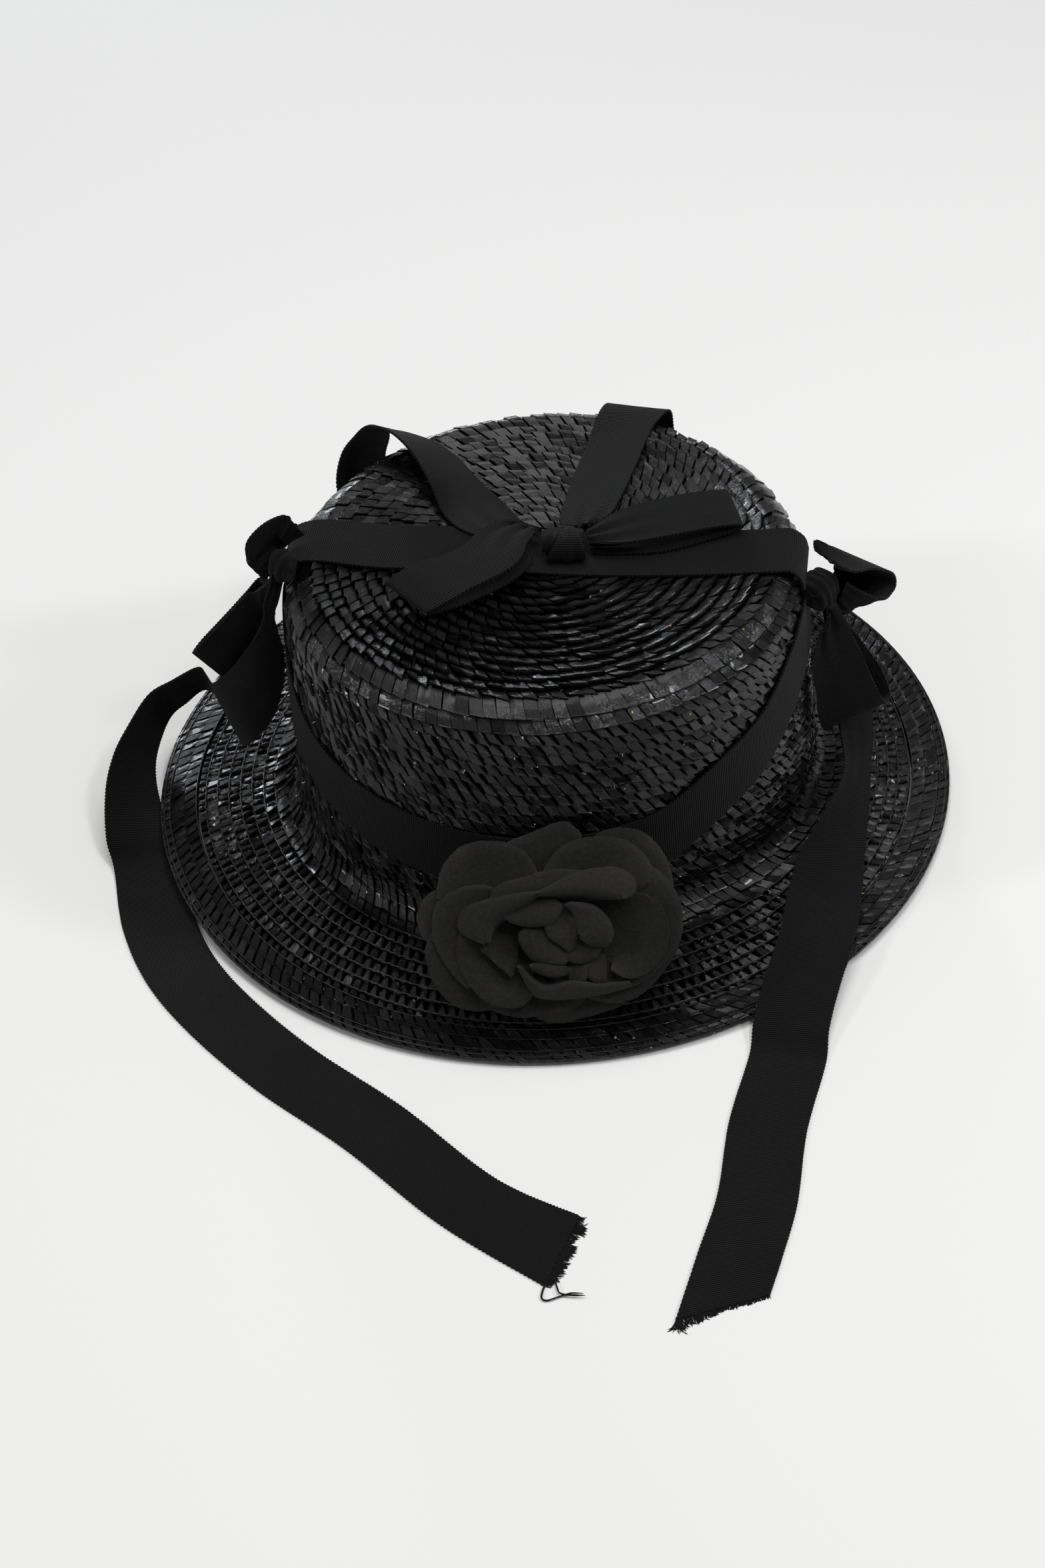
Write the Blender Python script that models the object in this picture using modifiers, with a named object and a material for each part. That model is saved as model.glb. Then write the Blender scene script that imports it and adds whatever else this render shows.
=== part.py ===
"""Black straw boater hat.

An oval crown and a flat brim of stitched braid, trimmed with grosgrain ribbon: a band,
a ribbon over the top, a bow on each side and one on the tip, two straps down the back,
two loose streamers, and a cloth flower resting on the front of the brim.
"""

import math
from typing import NamedTuple

import bmesh
import bpy
from mathutils import Vector

# Straw
CROWN_HALF_WIDTH = 0.0885
CROWN_HALF_DEPTH = 0.0924
CROWN_HEIGHT = 0.0998
CROWN_FLARE = 0.004
SHOULDER_RADIUS = 0.010
CROWN_SHIFT_X = 0.002
CROWN_SHIFT_Y = 0.0005
BRIM_HALF_WIDTH = 0.1404
BRIM_HALF_DEPTH = 0.1475
BRIM_INNER_HEIGHT = 0.0095
BRIM_OUTER_HEIGHT = 0.0044
BRIM_FILLET = 0.010
RIM_BREADTH = 0.013
RIM_THICKNESS = 0.0036
RIM_LIFT = 0.0027
RIM_LIFT_TURN = 191.0
RIM_LIFT_SPAN = 40.0
STRAW_THICKNESS = 0.002
AROUND = 48

# Ribbon
RIBBON_WIDTH = 0.0245
BAND_WIDTH = 0.022
RIBBON_THICKNESS = 0.001
RIBBON_STEPS = 3
KNOT_WIDTH = 0.016

# Flower
FLOWER_TURN = 265.5
FLOWER_OUT = 0.0264
FLOWER_HEIGHT = 0.0299
FLOWER_RADIUS = 0.043
FLOWER_DEPTH = 0.024
FLOWER_LEAN = 47.0
BUD_LEVEL = 0.39
BASE_LEVEL = -0.54
PETAL_THICKNESS = 0.0009
PETAL_TWIST = 0.075
PETAL_STEPS = 5
PETAL_ACROSS = 4

GAP = 0.0003


class Station(NamedTuple):
    """One cross line of a ribbon.

    turn is the way round the hat in degrees from its right side, reach is 0 at the
    middle, 1 at the crown wall and 2 at the brim edge, up is a share of the crown
    height. bearing and tilt point the cross line, spread is a share of the width.
    """

    turn: float
    reach: float
    up: float
    bearing: float
    tilt: float
    spread: float


class Petal(NamedTuple):
    """One petal: turn in degrees in the flower's face, the rest shares of its radius
    (root, reach, breadth) or of its depth (level, rise, cup)."""

    turn: float
    root: float
    reach: float
    breadth: float
    level: float
    rise: float
    cup: float


class Knot(NamedTuple):
    """One knot: its place as in Station, its size in shares of the knot width, and its
    turns about X, Y and Z in degrees."""

    turn: float
    reach: float
    up: float
    size: tuple
    turns: tuple


CROWN_RIBBON = (
    Station(169, 1.02, 0.893, 80, 0, 0.98),
    Station(169, 1.01, 0.935, 80, 0, 0.98),
    Station(169, 0.985, 0.978, 80, 0, 0.98),
    Station(169, 0.92, 1.005, 79, 0, 0.98),
    Station(169, 0.82, 1.009, 77, 0, 0.99),
    Station(172, 0.59, 1.009, 74, 0, 1.00),
    Station(174, 0.31, 1.009, 78, 0, 1.00),
    Station(322, 0.10, 1.009, 79, 0, 1.00),
    Station(341, 0.33, 1.009, 83, 0, 1.00),
    Station(346, 0.60, 1.009, 83, 0, 1.00),
    Station(349, 0.88, 1.009, 83, 0, 1.00),
    Station(350, 0.95, 1.003, 82, 0, 1.00),
    Station(350, 0.995, 0.972, 80, 0, 1.00),
    Station(350, 1.02, 0.925, 80, 0, 1.00),
)

BACK_STRAP_LEFT = (
    Station(120, 0.09, 1.022, 185, 0, 0.45),
    Station(141, 0.17, 1.022, 203, 0, 0.60),
    Station(136, 0.28, 1.022, 216, 0, 0.80),
    Station(129, 0.45, 1.023, 238, 0, 0.96),
    Station(124, 0.60, 1.043, 244, 13, 1.00),
    Station(123, 0.74, 1.066, 250, 23, 1.00),
    Station(125, 0.85, 1.093, 257, 32, 1.00),
    Station(126, 0.95, 1.084, 258, 36, 1.00),
    Station(125, 1.04, 1.045, 248, 35, 1.00),
    Station(125, 1.12, 0.985, 237, 33, 1.00),
    Station(126, 1.19, 0.905, 227, 29, 1.00),
    Station(127, 1.20, 0.800, 221, 20, 1.00),
    Station(127, 1.13, 0.690, 218, 10, 1.00),
    Station(128, 1.06, 0.605, 218, 2, 1.00),
)

BACK_STRAP_RIGHT = (
    Station(27, 0.18, 1.022, 190, 0, 0.35),
    Station(40, 0.24, 1.020, 186, 0, 0.74),
    Station(58, 0.50, 1.011, 197, 0, 0.97),
    Station(63, 0.76, 1.010, 194, 0, 0.97),
    Station(64, 0.94, 1.012, 170, 0, 0.96),
    Station(64, 1.03, 0.985, 157, 0, 0.96),
    Station(64, 1.07, 0.920, 154, 0, 0.96),
    Station(64, 1.08, 0.752, 154, 0, 0.96),
    Station(64, 1.09, 0.585, 154, 0, 0.97),
)

TOP_LOOP_LEFT = (
    Station(135, 0.03, 1.060, 131, 0, 0.35),
    Station(112, 0.09, 1.080, 146, 0, 0.75),
    Station(175, 0.12, 1.099, 147, 0, 0.88),
    Station(221, 0.26, 1.097, 146, 0, 0.94),
    Station(214, 0.46, 1.079, 136, 0, 1.00),
    Station(213, 0.57, 1.063, 126, 0, 0.97),
    Station(212, 0.61, 1.048, 124, 0, 0.95),
    Station(212, 0.56, 1.033, 126, 0, 0.95),
    Station(215, 0.46, 1.030, 135, 0, 0.93),
    Station(218, 0.25, 1.031, 141, 0, 0.88),
    Station(218, 0.11, 1.034, 141, 0, 0.50),
)

TOP_LOOP_RIGHT = (
    Station(345, 0.19, 1.060, 93, 0, 0.35),
    Station(353, 0.31, 1.076, 96, 0, 0.76),
    Station(0, 0.47, 1.078, 98, 0, 0.89),
    Station(4, 0.65, 1.068, 98, 0, 0.89),
    Station(5, 0.76, 1.051, 98, 0, 0.89),
    Station(4, 0.65, 1.028, 98, 0, 0.89),
    Station(358, 0.42, 1.022, 97, 0, 0.86),
    Station(345, 0.19, 1.026, 93, 0, 0.35),
)

LEFT_UPPER_LOOP = (
    Station(175, 0.99, 1.080, 64, -55, 0.22),
    Station(175, 0.95, 1.115, 64, -55, 0.50),
    Station(175, 0.93, 1.134, 64, -55, 0.72),
    Station(175, 0.98, 1.116, 64, -55, 0.81),
    Station(175, 1.06, 1.076, 64, -55, 0.88),
    Station(176, 1.14, 1.030, 64, -55, 0.88),
    Station(177, 1.17, 0.994, 64, -55, 0.58),
    Station(177, 1.14, 0.974, 64, -55, 0.45),
    Station(177, 1.08, 1.008, 64, -55, 0.36),
    Station(176, 1.01, 1.042, 64, -55, 0.24),
)

LEFT_LOWER_LOOP = (
    Station(180, 1.06, 0.940, 43, -57, 0.22),
    Station(178, 1.14, 0.872, 43, -57, 0.42),
    Station(175, 1.19, 0.787, 52, -60, 0.90),
    Station(175, 1.33, 0.682, 43, -57, 0.99),
    Station(175, 1.49, 0.589, 43, -57, 0.99),
    Station(174, 1.57, 0.533, 43, -57, 0.99),
    Station(172, 1.51, 0.559, 43, -57, 0.99),
    Station(172, 1.35, 0.654, 43, -57, 0.99),
    Station(172, 1.20, 0.765, 52, -60, 0.90),
    Station(172, 1.14, 0.850, 43, -57, 0.42),
    Station(178, 1.06, 0.915, 43, -57, 0.22),
)

LEFT_STREAMER = (
    Station(181, 1.11, 0.850, 214, 68, 0.36),
    Station(180, 1.11, 0.724, 225, 69, 0.80),
    Station(180, 1.17, 0.616, 200, 68, 0.94),
    Station(180, 1.29, 0.496, 155, 60, 0.98),
    Station(179, 1.43, 0.407, 127, 49, 1.00),
    Station(174, 1.52, 0.323, 135, 59, 1.00),
    Station(169, 1.59, 0.310, 200, 70, 1.00),
    Station(165, 1.74, 0.330, 266, 56, 1.00),
    Station(167, 1.90, 0.298, 264, 57, 1.00),
    Station(168, 2.03, 0.253, 251, 56, 1.00),
    Station(171, 2.12, 0.195, 240, 48, 1.00),
    Station(175, 2.18, 0.145, 229, 43, 1.00),
    Station(180, 2.19, 0.095, 216, 35, 1.00),
    Station(187, 2.16, 0.045, 198, 18, 1.00),
    Station(192, 2.13, 0.010, 187, 3, 1.00),
    Station(203, 2.21, 0.005, 193, 0, 1.00),
    Station(213, 2.28, 0.005, 204, 0, 1.00),
    Station(223, 2.33, 0.005, 214, 0, 1.00),
    Station(235, 2.43, 0.005, 221, 0, 1.00),
    Station(248, 2.64, 0.005, 221, 0, 1.00),
    Station(259, 3.09, 0.005, 223, 0, 1.00),
    Station(267, 3.45, 0.005, 245, 0, 1.20),
)

RIGHT_UPPER_LOOP = (
    Station(351, 1.19, 0.950, 104, -14, 0.40),
    Station(351, 1.21, 0.945, 120, -9, 0.85),
    Station(354, 1.27, 0.938, 137, 5, 0.98),
    Station(355, 1.37, 0.907, 157, 18, 1.00),
    Station(356, 1.42, 0.852, 151, 15, 0.95),
    Station(354, 1.40, 0.777, 154, -16, 0.90),
    Station(351, 1.38, 0.765, 149, -32, 0.78),
    Station(349, 1.33, 0.800, 134, -60, 0.66),
    Station(348, 1.27, 0.860, 128, -69, 0.45),
)

RIGHT_LOWER_LOOP = (
    Station(344, 1.20, 0.800, 207, -70, 0.25),
    Station(343, 1.19, 0.711, 180, -52, 0.54),
    Station(344, 1.25, 0.572, 173, -46, 0.68),
    Station(345, 1.29, 0.456, 172, -38, 0.84),
    Station(347, 1.34, 0.350, 173, -30, 0.98),
    Station(350, 1.38, 0.343, 172, -31, 0.98),
    Station(352, 1.34, 0.408, 174, -40, 0.96),
    Station(352, 1.27, 0.503, 172, -47, 0.86),
    Station(350, 1.22, 0.640, 160, -50, 0.60),
    Station(349, 1.20, 0.745, 150, -56, 0.25),
)

RIGHT_STREAMER = (
    Station(356, 1.17, 0.700, 63, -31, 0.32),
    Station(359, 1.26, 0.480, 42, -19, 0.64),
    Station(358, 1.34, 0.290, 44, -16, 0.88),
    Station(350, 1.36, 0.200, 49, -26, 0.87),
    Station(342, 1.38, 0.172, 50, -30, 0.85),
    Station(331, 1.40, 0.152, 30, -22, 0.90),
    Station(322, 1.46, 0.128, 8, -14, 0.95),
    Station(314, 1.61, 0.106, -10, -7, 0.99),
    Station(307, 1.80, 0.088, -14, -4, 1.00),
    Station(301, 1.98, 0.064, -15, -2, 1.00),
    Station(296, 2.19, 0.030, -15, 0, 1.00),
    Station(293, 2.39, 0.005, -16, 0, 1.00),
    Station(287, 2.81, 0.005, -17, 0, 1.00),
    Station(283, 3.30, 0.005, -16, 0, 1.00),
    Station(280, 3.66, 0.005, -10, 0, 1.03),
    Station(278, 3.95, 0.005, 23, 0, 1.40),
)

# Middle height of the band round the crown: turn in degrees, share of crown height
BAND_LINE = (
    (0, 0.715),
    (40, 0.50),
    (90, 0.42),
    (140, 0.47),
    (160, 0.60),
    (172, 0.755),
    (193, 0.565),
    (205, 0.495),
    (227, 0.435),
    (260, 0.400),
    (288, 0.425),
    (305, 0.525),
    (318, 0.585),
    (331, 0.68),
    (347, 0.755),
)

KNOTS = {
    "top_knot": Knot(322, 0.105, 1.073, (1.14, 1.00, 0.74), (0, 0, -12)),
    "left_knot": Knot(180, 0.997, 1.006, (0.56, 0.70, 0.58), (0, 40, 0)),
    "right_knot": Knot(349, 1.14, 0.885, (0.76, 1.00, 0.95), (0, 0, -11)),
}
BUD_SIZE = (0.80, 0.80, 1.80)
BASE_SIZE = (1.80, 1.40, 1.50)

OUTER_PETALS = {
    "petal_outer_1": Petal(139, 0.14, 0.94, 0.44, 0.00, 0.05, 0.02),
    "petal_outer_2": Petal(98, 0.14, 0.84, 0.40, 0.00, 0.05, 0.02),
    "petal_outer_3": Petal(52, 0.14, 1.00, 0.46, 0.00, 0.05, 0.02),
    "petal_outer_4": Petal(10, 0.14, 1.00, 0.44, 0.00, 0.05, 0.02),
    "petal_outer_5": Petal(328, 0.14, 0.86, 0.42, 0.00, 0.05, 0.02),
    "petal_outer_6": Petal(287, 0.14, 0.76, 0.42, 0.00, 0.05, 0.02),
    "petal_outer_7": Petal(248, 0.14, 0.78, 0.42, 0.00, 0.05, 0.02),
    "petal_outer_8": Petal(211, 0.14, 0.98, 0.42, 0.00, 0.05, 0.02),
    "petal_outer_9": Petal(174, 0.14, 1.03, 0.40, 0.00, 0.05, 0.02),
}
MIDDLE_PETALS = {
    "petal_middle_1": Petal(56, 0.14, 0.80, 0.42, 0.29, 0.08, 0.02),
    "petal_middle_2": Petal(12, 0.14, 0.86, 0.42, 0.29, 0.08, 0.02),
    "petal_middle_3": Petal(334, 0.14, 0.78, 0.38, 0.29, 0.08, 0.02),
    "petal_middle_4": Petal(284, 0.14, 0.62, 0.40, 0.29, 0.08, 0.02),
    "petal_middle_5": Petal(226, 0.14, 0.76, 0.44, 0.29, 0.08, 0.02),
    "petal_middle_6": Petal(168, 0.14, 0.80, 0.42, 0.29, 0.08, 0.02),
    "petal_middle_7": Petal(112, 0.14, 0.66, 0.42, 0.29, 0.08, 0.02),
}
INNER_PETALS = {
    "petal_inner_1": Petal(25, 0.14, 0.54, 0.34, 0.58, 0.12, 0.02),
    "petal_inner_2": Petal(98, 0.14, 0.48, 0.32, 0.58, 0.12, 0.02),
    "petal_inner_3": Petal(172, 0.14, 0.52, 0.34, 0.58, 0.12, 0.02),
    "petal_inner_4": Petal(240, 0.14, 0.44, 0.32, 0.58, 0.12, 0.02),
    "petal_inner_5": Petal(310, 0.14, 0.48, 0.34, 0.58, 0.12, 0.02),
}


def clear_scene() -> None:
    """Take every object out of the scene."""
    for old in list(bpy.data.objects):
        bpy.data.objects.remove(old, do_unlink=True)


def make_finish(name: str, colour: tuple, roughness: float, coat: float):
    """Return a plain surface of the given colour and roughness."""
    finish = bpy.data.materials.new(name)
    finish.use_nodes = True
    shader = finish.node_tree.nodes["Principled BSDF"]
    shader.inputs["Base Color"].default_value = (*colour, 1.0)
    shader.inputs["Roughness"].default_value = roughness
    shader.inputs["Coat Weight"].default_value = coat
    return finish


def oval_radius(half_width: float, half_depth: float, turn: float) -> float:
    """Return an oval's radius in one direction, turn in degrees."""
    across = math.cos(math.radians(turn)) / half_width
    along = math.sin(math.radians(turn)) / half_depth
    return 1.0 / math.hypot(across, along)


def place(turn: float, reach: float, up: float) -> Vector:
    """Return the point at a turn, reach and share of the crown height."""
    wall = oval_radius(CROWN_HALF_WIDTH, CROWN_HALF_DEPTH, turn)
    edge = oval_radius(BRIM_HALF_WIDTH, BRIM_HALF_DEPTH, turn)
    radius = wall * reach
    if reach > 1.0:
        radius = wall + (reach - 1.0) * (edge - wall)
    shift = max(0.0, min(1.0, 2.0 - reach))
    angle = math.radians(turn)
    return Vector((
        shift * CROWN_SHIFT_X + radius * math.cos(angle),
        shift * CROWN_SHIFT_Y + radius * math.sin(angle),
        max(up * CROWN_HEIGHT, RIBBON_THICKNESS / 2),
    ))


def cross_line(row: Station) -> Vector:
    """Return the cross line of a ribbon at one station."""
    bearing = math.radians(row.bearing)
    tilt = math.radians(row.tilt)
    level = math.cos(tilt)
    line = Vector((math.cos(bearing) * level, math.sin(bearing) * level, math.sin(tilt)))
    return line * (RIBBON_WIDTH * row.spread)


def through(before, start, end, after, share: float):
    """Return the smooth curve through four values, at a share from start to end."""
    bend = 2 * before - 5 * start + 4 * end - after
    twist = 3 * start - 3 * end + after - before
    return start + 0.5 * share * ((end - before) + share * (bend + share * twist))


def smooth_rows(rows: list, steps: int) -> list:
    """Return rows with smooth ones put in between."""
    last = len(rows) - 1
    full = []
    for index in range(last):
        before = rows[max(index - 1, 0)]
        after = rows[min(index + 2, last)]
        for step in range(steps):
            full.append(through(before, rows[index], rows[index + 1], after, step / steps))
    full.append(rows[last])
    return full


def add_object(name: str, points: list, faces: list, finish):
    """Add a mesh object with smooth shading and its own finish."""
    mesh = bpy.data.meshes.new(name)
    mesh.from_pydata([tuple(point) for point in points], [], faces)
    form = bmesh.new()
    form.from_mesh(mesh)
    bmesh.ops.recalc_face_normals(form, faces=form.faces)
    form.to_mesh(mesh)
    form.free()
    mesh.materials.append(finish)
    for face in mesh.polygons:
        face.use_smooth = True
    used = {}
    for face in mesh.polygons:
        for key in face.edge_keys:
            used[key] = used.get(key, 0) + 1
    for edge in mesh.edges:
        edge.use_edge_sharp = used[edge.key] == 1
    part = bpy.data.objects.new(name, mesh)
    HAT.objects.link(part)
    return part


def thicken(part, thickness: float, offset: float) -> None:
    """Give a sheet its thickness."""
    shell = part.modifiers.new("thickness", "SOLIDIFY")
    shell.thickness = thickness
    shell.offset = offset
    shell.use_even_offset = False
    shell.use_rim = True


def add_ribbon(name: str, rows: tuple, finish):
    """Add one length of ribbon from its stations."""
    middles = smooth_rows([place(row.turn, row.reach, row.up) for row in rows], RIBBON_STEPS)
    lines = smooth_rows([cross_line(row) for row in rows], RIBBON_STEPS)
    points = []
    for middle, line in zip(middles, lines):
        for side in (-0.5, 0.5):
            point = middle + line * side
            point.z = max(point.z, RIBBON_THICKNESS / 2)
            points.append(point)
    faces = []
    for index in range(len(middles) - 1):
        first = 2 * index
        faces.append((first, first + 1, first + 3, first + 2))
    part = add_object(name, points, faces, finish)
    thicken(part, RIBBON_THICKNESS, 0.0)
    return part


def crown_outline(height: float) -> tuple:
    """Return the crown's half width and half depth at a height on its wall."""
    share = 1.0 - height / (CROWN_HEIGHT - SHOULDER_RADIUS)
    flare = CROWN_FLARE * max(share, 0.0)
    return CROWN_HALF_WIDTH + flare, CROWN_HALF_DEPTH + flare


def oval_ring(half_width: float, half_depth: float, height: float, shift: float) -> list:
    """Return the points of one oval ring."""
    ring = []
    for index in range(AROUND):
        angle = 2 * math.pi * index / AROUND
        ring.append(Vector((
            shift * CROWN_SHIFT_X + half_width * math.cos(angle),
            shift * CROWN_SHIFT_Y + half_depth * math.sin(angle),
            height,
        )))
    return ring


def rim_lift(index: int) -> float:
    """Return how far the brim edge rises, over the ribbon that runs under it."""
    turn = 360.0 * index / AROUND
    away = abs(turn - RIM_LIFT_TURN)
    if away > RIM_LIFT_SPAN:
        return 0.0
    return RIM_LIFT * 0.5 * (1.0 + math.cos(math.pi * away / RIM_LIFT_SPAN))


def join_rings(rings: list, closed_section: bool, pole) -> tuple:
    """Return the points and faces of a loft through rings, with a pole point if given."""
    points = [point for ring in rings for point in ring]
    faces = []
    pairs = len(rings) if closed_section else len(rings) - 1
    for row in range(pairs):
        low = row * AROUND
        high = (row + 1) % len(rings) * AROUND
        for index in range(AROUND):
            following = (index + 1) % AROUND
            faces.append((low + index, low + following, high + following, high + index))
    if pole is not None:
        last = (len(rings) - 1) * AROUND
        for index in range(AROUND):
            faces.append((last + index, last + (index + 1) % AROUND, len(points)))
        points.append(pole)
    return points, faces


def add_crown(finish):
    """Add the crown: a flared wall, a rounded shoulder and a flat tip."""
    rings = []
    foot = BRIM_INNER_HEIGHT + BRIM_FILLET + GAP
    wall_top = CROWN_HEIGHT - SHOULDER_RADIUS
    for share in (0.0, 0.5, 1.0):
        height = foot + (wall_top - foot) * share
        rings.append(oval_ring(*crown_outline(height), height, 1.0))
    for degrees in (22.5, 45.0, 67.5, 90.0):
        angle = math.radians(degrees)
        inset = SHOULDER_RADIUS * (1.0 - math.cos(angle))
        height = wall_top + SHOULDER_RADIUS * math.sin(angle)
        rings.append(oval_ring(CROWN_HALF_WIDTH - inset, CROWN_HALF_DEPTH - inset, height, 1.0))
    for share in (0.66, 0.33):
        width = (CROWN_HALF_WIDTH - SHOULDER_RADIUS) * share
        depth = (CROWN_HALF_DEPTH - SHOULDER_RADIUS) * share
        rings.append(oval_ring(width, depth, CROWN_HEIGHT, 1.0))
    pole = Vector((CROWN_SHIFT_X, CROWN_SHIFT_Y, CROWN_HEIGHT))
    part = add_object("crown", *join_rings(rings, False, pole), finish)
    thicken(part, STRAW_THICKNESS, -1.0)


def add_brim(finish):
    """Add the brim: a hollow curve out of the crown wall, then a gentle slope down."""
    rings = []
    foot = BRIM_INNER_HEIGHT + BRIM_FILLET
    foot_width, foot_depth = crown_outline(foot)
    for degrees in (0.0, 22.5, 45.0, 67.5, 90.0):
        angle = math.radians(degrees)
        out = BRIM_FILLET * (1.0 - math.cos(angle))
        height = foot - BRIM_FILLET * math.sin(angle)
        rings.append(oval_ring(foot_width + out, foot_depth + out, height, 1.0))
    inner_width = foot_width + BRIM_FILLET
    inner_depth = foot_depth + BRIM_FILLET
    outer_width = BRIM_HALF_WIDTH - RIM_BREADTH - GAP
    outer_depth = BRIM_HALF_DEPTH - RIM_BREADTH - GAP
    for share in (0.5, 1.0):
        width = inner_width + (outer_width - inner_width) * share
        depth = inner_depth + (outer_depth - inner_depth) * share
        height = BRIM_INNER_HEIGHT + (BRIM_OUTER_HEIGHT - BRIM_INNER_HEIGHT) * share
        ring = oval_ring(width, depth, height, 1.0 - share)
        for index, point in enumerate(ring):
            point.z += rim_lift(index) * share
        rings.append(ring)
    part = add_object("brim", *join_rings(rings, False, None), finish)
    thicken(part, STRAW_THICKNESS, 1.0)


def add_edge_braid(finish):
    """Add the doubled braid round the brim edge, flat underneath."""
    section = (
        (1.00, 0.00),
        (0.28, 0.00),
        (0.03, 0.40),
        (0.00, 0.70),
        (0.10, 0.98),
        (1.00, 1.20),
    )
    rings = []
    for inset, height in section:
        width = BRIM_HALF_WIDTH - RIM_BREADTH * inset
        depth = BRIM_HALF_DEPTH - RIM_BREADTH * inset
        ring = oval_ring(width, depth, RIM_THICKNESS * height, 0.0)
        for index, point in enumerate(ring):
            point.z += rim_lift(index)
        rings.append(ring)
    add_object("edge_braid", *join_rings(rings, True, None), finish)


def band_height(turn: float) -> float:
    """Return the band's middle height at a turn."""
    count = len(BAND_LINE)
    for index in range(count):
        start = BAND_LINE[index][0]
        end = BAND_LINE[(index + 1) % count][0]
        end += 360 * (index == count - 1)
        if start <= turn <= end:
            share = (turn - start) / (end - start)
            four = [BAND_LINE[(index + step) % count][1] for step in (-1, 0, 1, 2)]
            return CROWN_HEIGHT * through(*four, share)
    return 0.0


def add_band(finish):
    """Add the ribbon band round the crown wall."""
    rings = []
    clear = GAP + RIBBON_THICKNESS / 2
    for side in (-0.5, 0.5):
        ring = []
        for index in range(AROUND):
            turn = 360.0 * index / AROUND
            height = band_height(turn) + side * BAND_WIDTH
            width, depth = crown_outline(height)
            angle = math.radians(turn)
            ring.append(Vector((
                CROWN_SHIFT_X + (width + clear) * math.cos(angle),
                CROWN_SHIFT_Y + (depth + clear) * math.sin(angle),
                height,
            )))
        rings.append(ring)
    part = add_object("hat_band", *join_rings(rings, False, None), finish)
    thicken(part, RIBBON_THICKNESS, 0.0)


def add_pillow(name: str, middle: Vector, size: tuple, turns: tuple, finish):
    """Add a soft pillow, its size in shares of the knot width."""
    form = bmesh.new()
    bmesh.ops.create_cube(form, size=1.0)
    for corner in form.verts:
        corner.co = Vector(side * share for side, share in zip(corner.co, size)) * KNOT_WIDTH
    mesh = bpy.data.meshes.new(name)
    form.to_mesh(mesh)
    form.free()
    mesh.materials.append(finish)
    for face in mesh.polygons:
        face.use_smooth = True
    part = bpy.data.objects.new(name, mesh)
    part.location = middle
    part.rotation_euler = [math.radians(turn) for turn in turns]
    HAT.objects.link(part)
    soft = part.modifiers.new("softness", "SUBSURF")
    soft.levels = 2
    soft.render_levels = 2
    return part


def flower_frame() -> tuple:
    """Return the flower's middle and its right, upper and outward directions.

    The middle keeps its distance from the crown wall and its height over the floor.
    """
    wall = place(FLOWER_TURN, 1.0, 0.0)
    turn = math.radians(FLOWER_TURN)
    across = wall.x + FLOWER_OUT * math.cos(turn)
    along = wall.y + FLOWER_OUT * math.sin(turn)
    lean = math.radians(FLOWER_LEAN)
    right = Vector((1.0, 0.0, 0.0))
    upper = Vector((0.0, math.cos(lean), math.sin(lean)))
    outward = Vector((0.0, -math.sin(lean), math.cos(lean)))
    return Vector((across, along, FLOWER_HEIGHT)), right, upper, outward


def add_petal(name: str, row: Petal, finish):
    """Add one cupped petal."""
    middle, right, upper, outward = flower_frame()
    angle = math.radians(row.turn)
    away = right * math.cos(angle) + upper * math.sin(angle)
    aside = upper * math.cos(angle) - right * math.sin(angle)
    shape = (0.24, 0.66, 0.93, 1.06, 1.04, 0.80)
    points = []
    for step in range(PETAL_STEPS + 1):
        share = step / PETAL_STEPS
        for column in range(PETAL_ACROSS + 1):
            side = 2.0 * column / PETAL_ACROSS - 1.0
            reach = row.root + (row.reach - row.root) * share * (1.0 - 0.16 * side * side)
            level = row.level + row.rise * share * share + row.cup * side * side
            level += PETAL_TWIST * side
            points.append(
                middle
                + away * (FLOWER_RADIUS * reach)
                + aside * (FLOWER_RADIUS * row.breadth * shape[step] * side)
                + outward * (FLOWER_DEPTH * level)
            )
    columns = PETAL_ACROSS + 1
    faces = []
    for step in range(PETAL_STEPS):
        for column in range(PETAL_ACROSS):
            first = step * columns + column
            faces.append((first, first + 1, first + columns + 1, first + columns))
    part = add_object(name, points, faces, finish)
    thicken(part, PETAL_THICKNESS, 0.0)
    return part


def stand_on_middle() -> None:
    """Move the whole hat so that its footprint is centred on the origin."""
    bpy.context.view_layer.update()
    depsgraph = bpy.context.evaluated_depsgraph_get()
    corners = []
    for part in HAT.objects:
        if part.type == "MESH":
            shown = part.evaluated_get(depsgraph)
            corners += [part.matrix_world @ Vector(corner) for corner in shown.bound_box]
    root = bpy.data.objects.new("hat_root", None)
    HAT.objects.link(root)
    for part in HAT.objects:
        if part is not root:
            part.parent = root
    root.location = (
        -0.5 * (min(corner.x for corner in corners) + max(corner.x for corner in corners)),
        -0.5 * (min(corner.y for corner in corners) + max(corner.y for corner in corners)),
        -min(corner.z for corner in corners),
    )


clear_scene()
HAT = bpy.data.collections.new("boater_hat")
bpy.context.scene.collection.children.link(HAT)

STRAW = make_finish("black_straw", (0.012, 0.012, 0.013), 0.28, 0.5)
GROSGRAIN = make_finish("black_grosgrain", (0.014, 0.014, 0.016), 0.85, 0.0)
CLOTH = make_finish("charcoal_cloth", (0.028, 0.028, 0.032), 0.90, 0.0)

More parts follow.
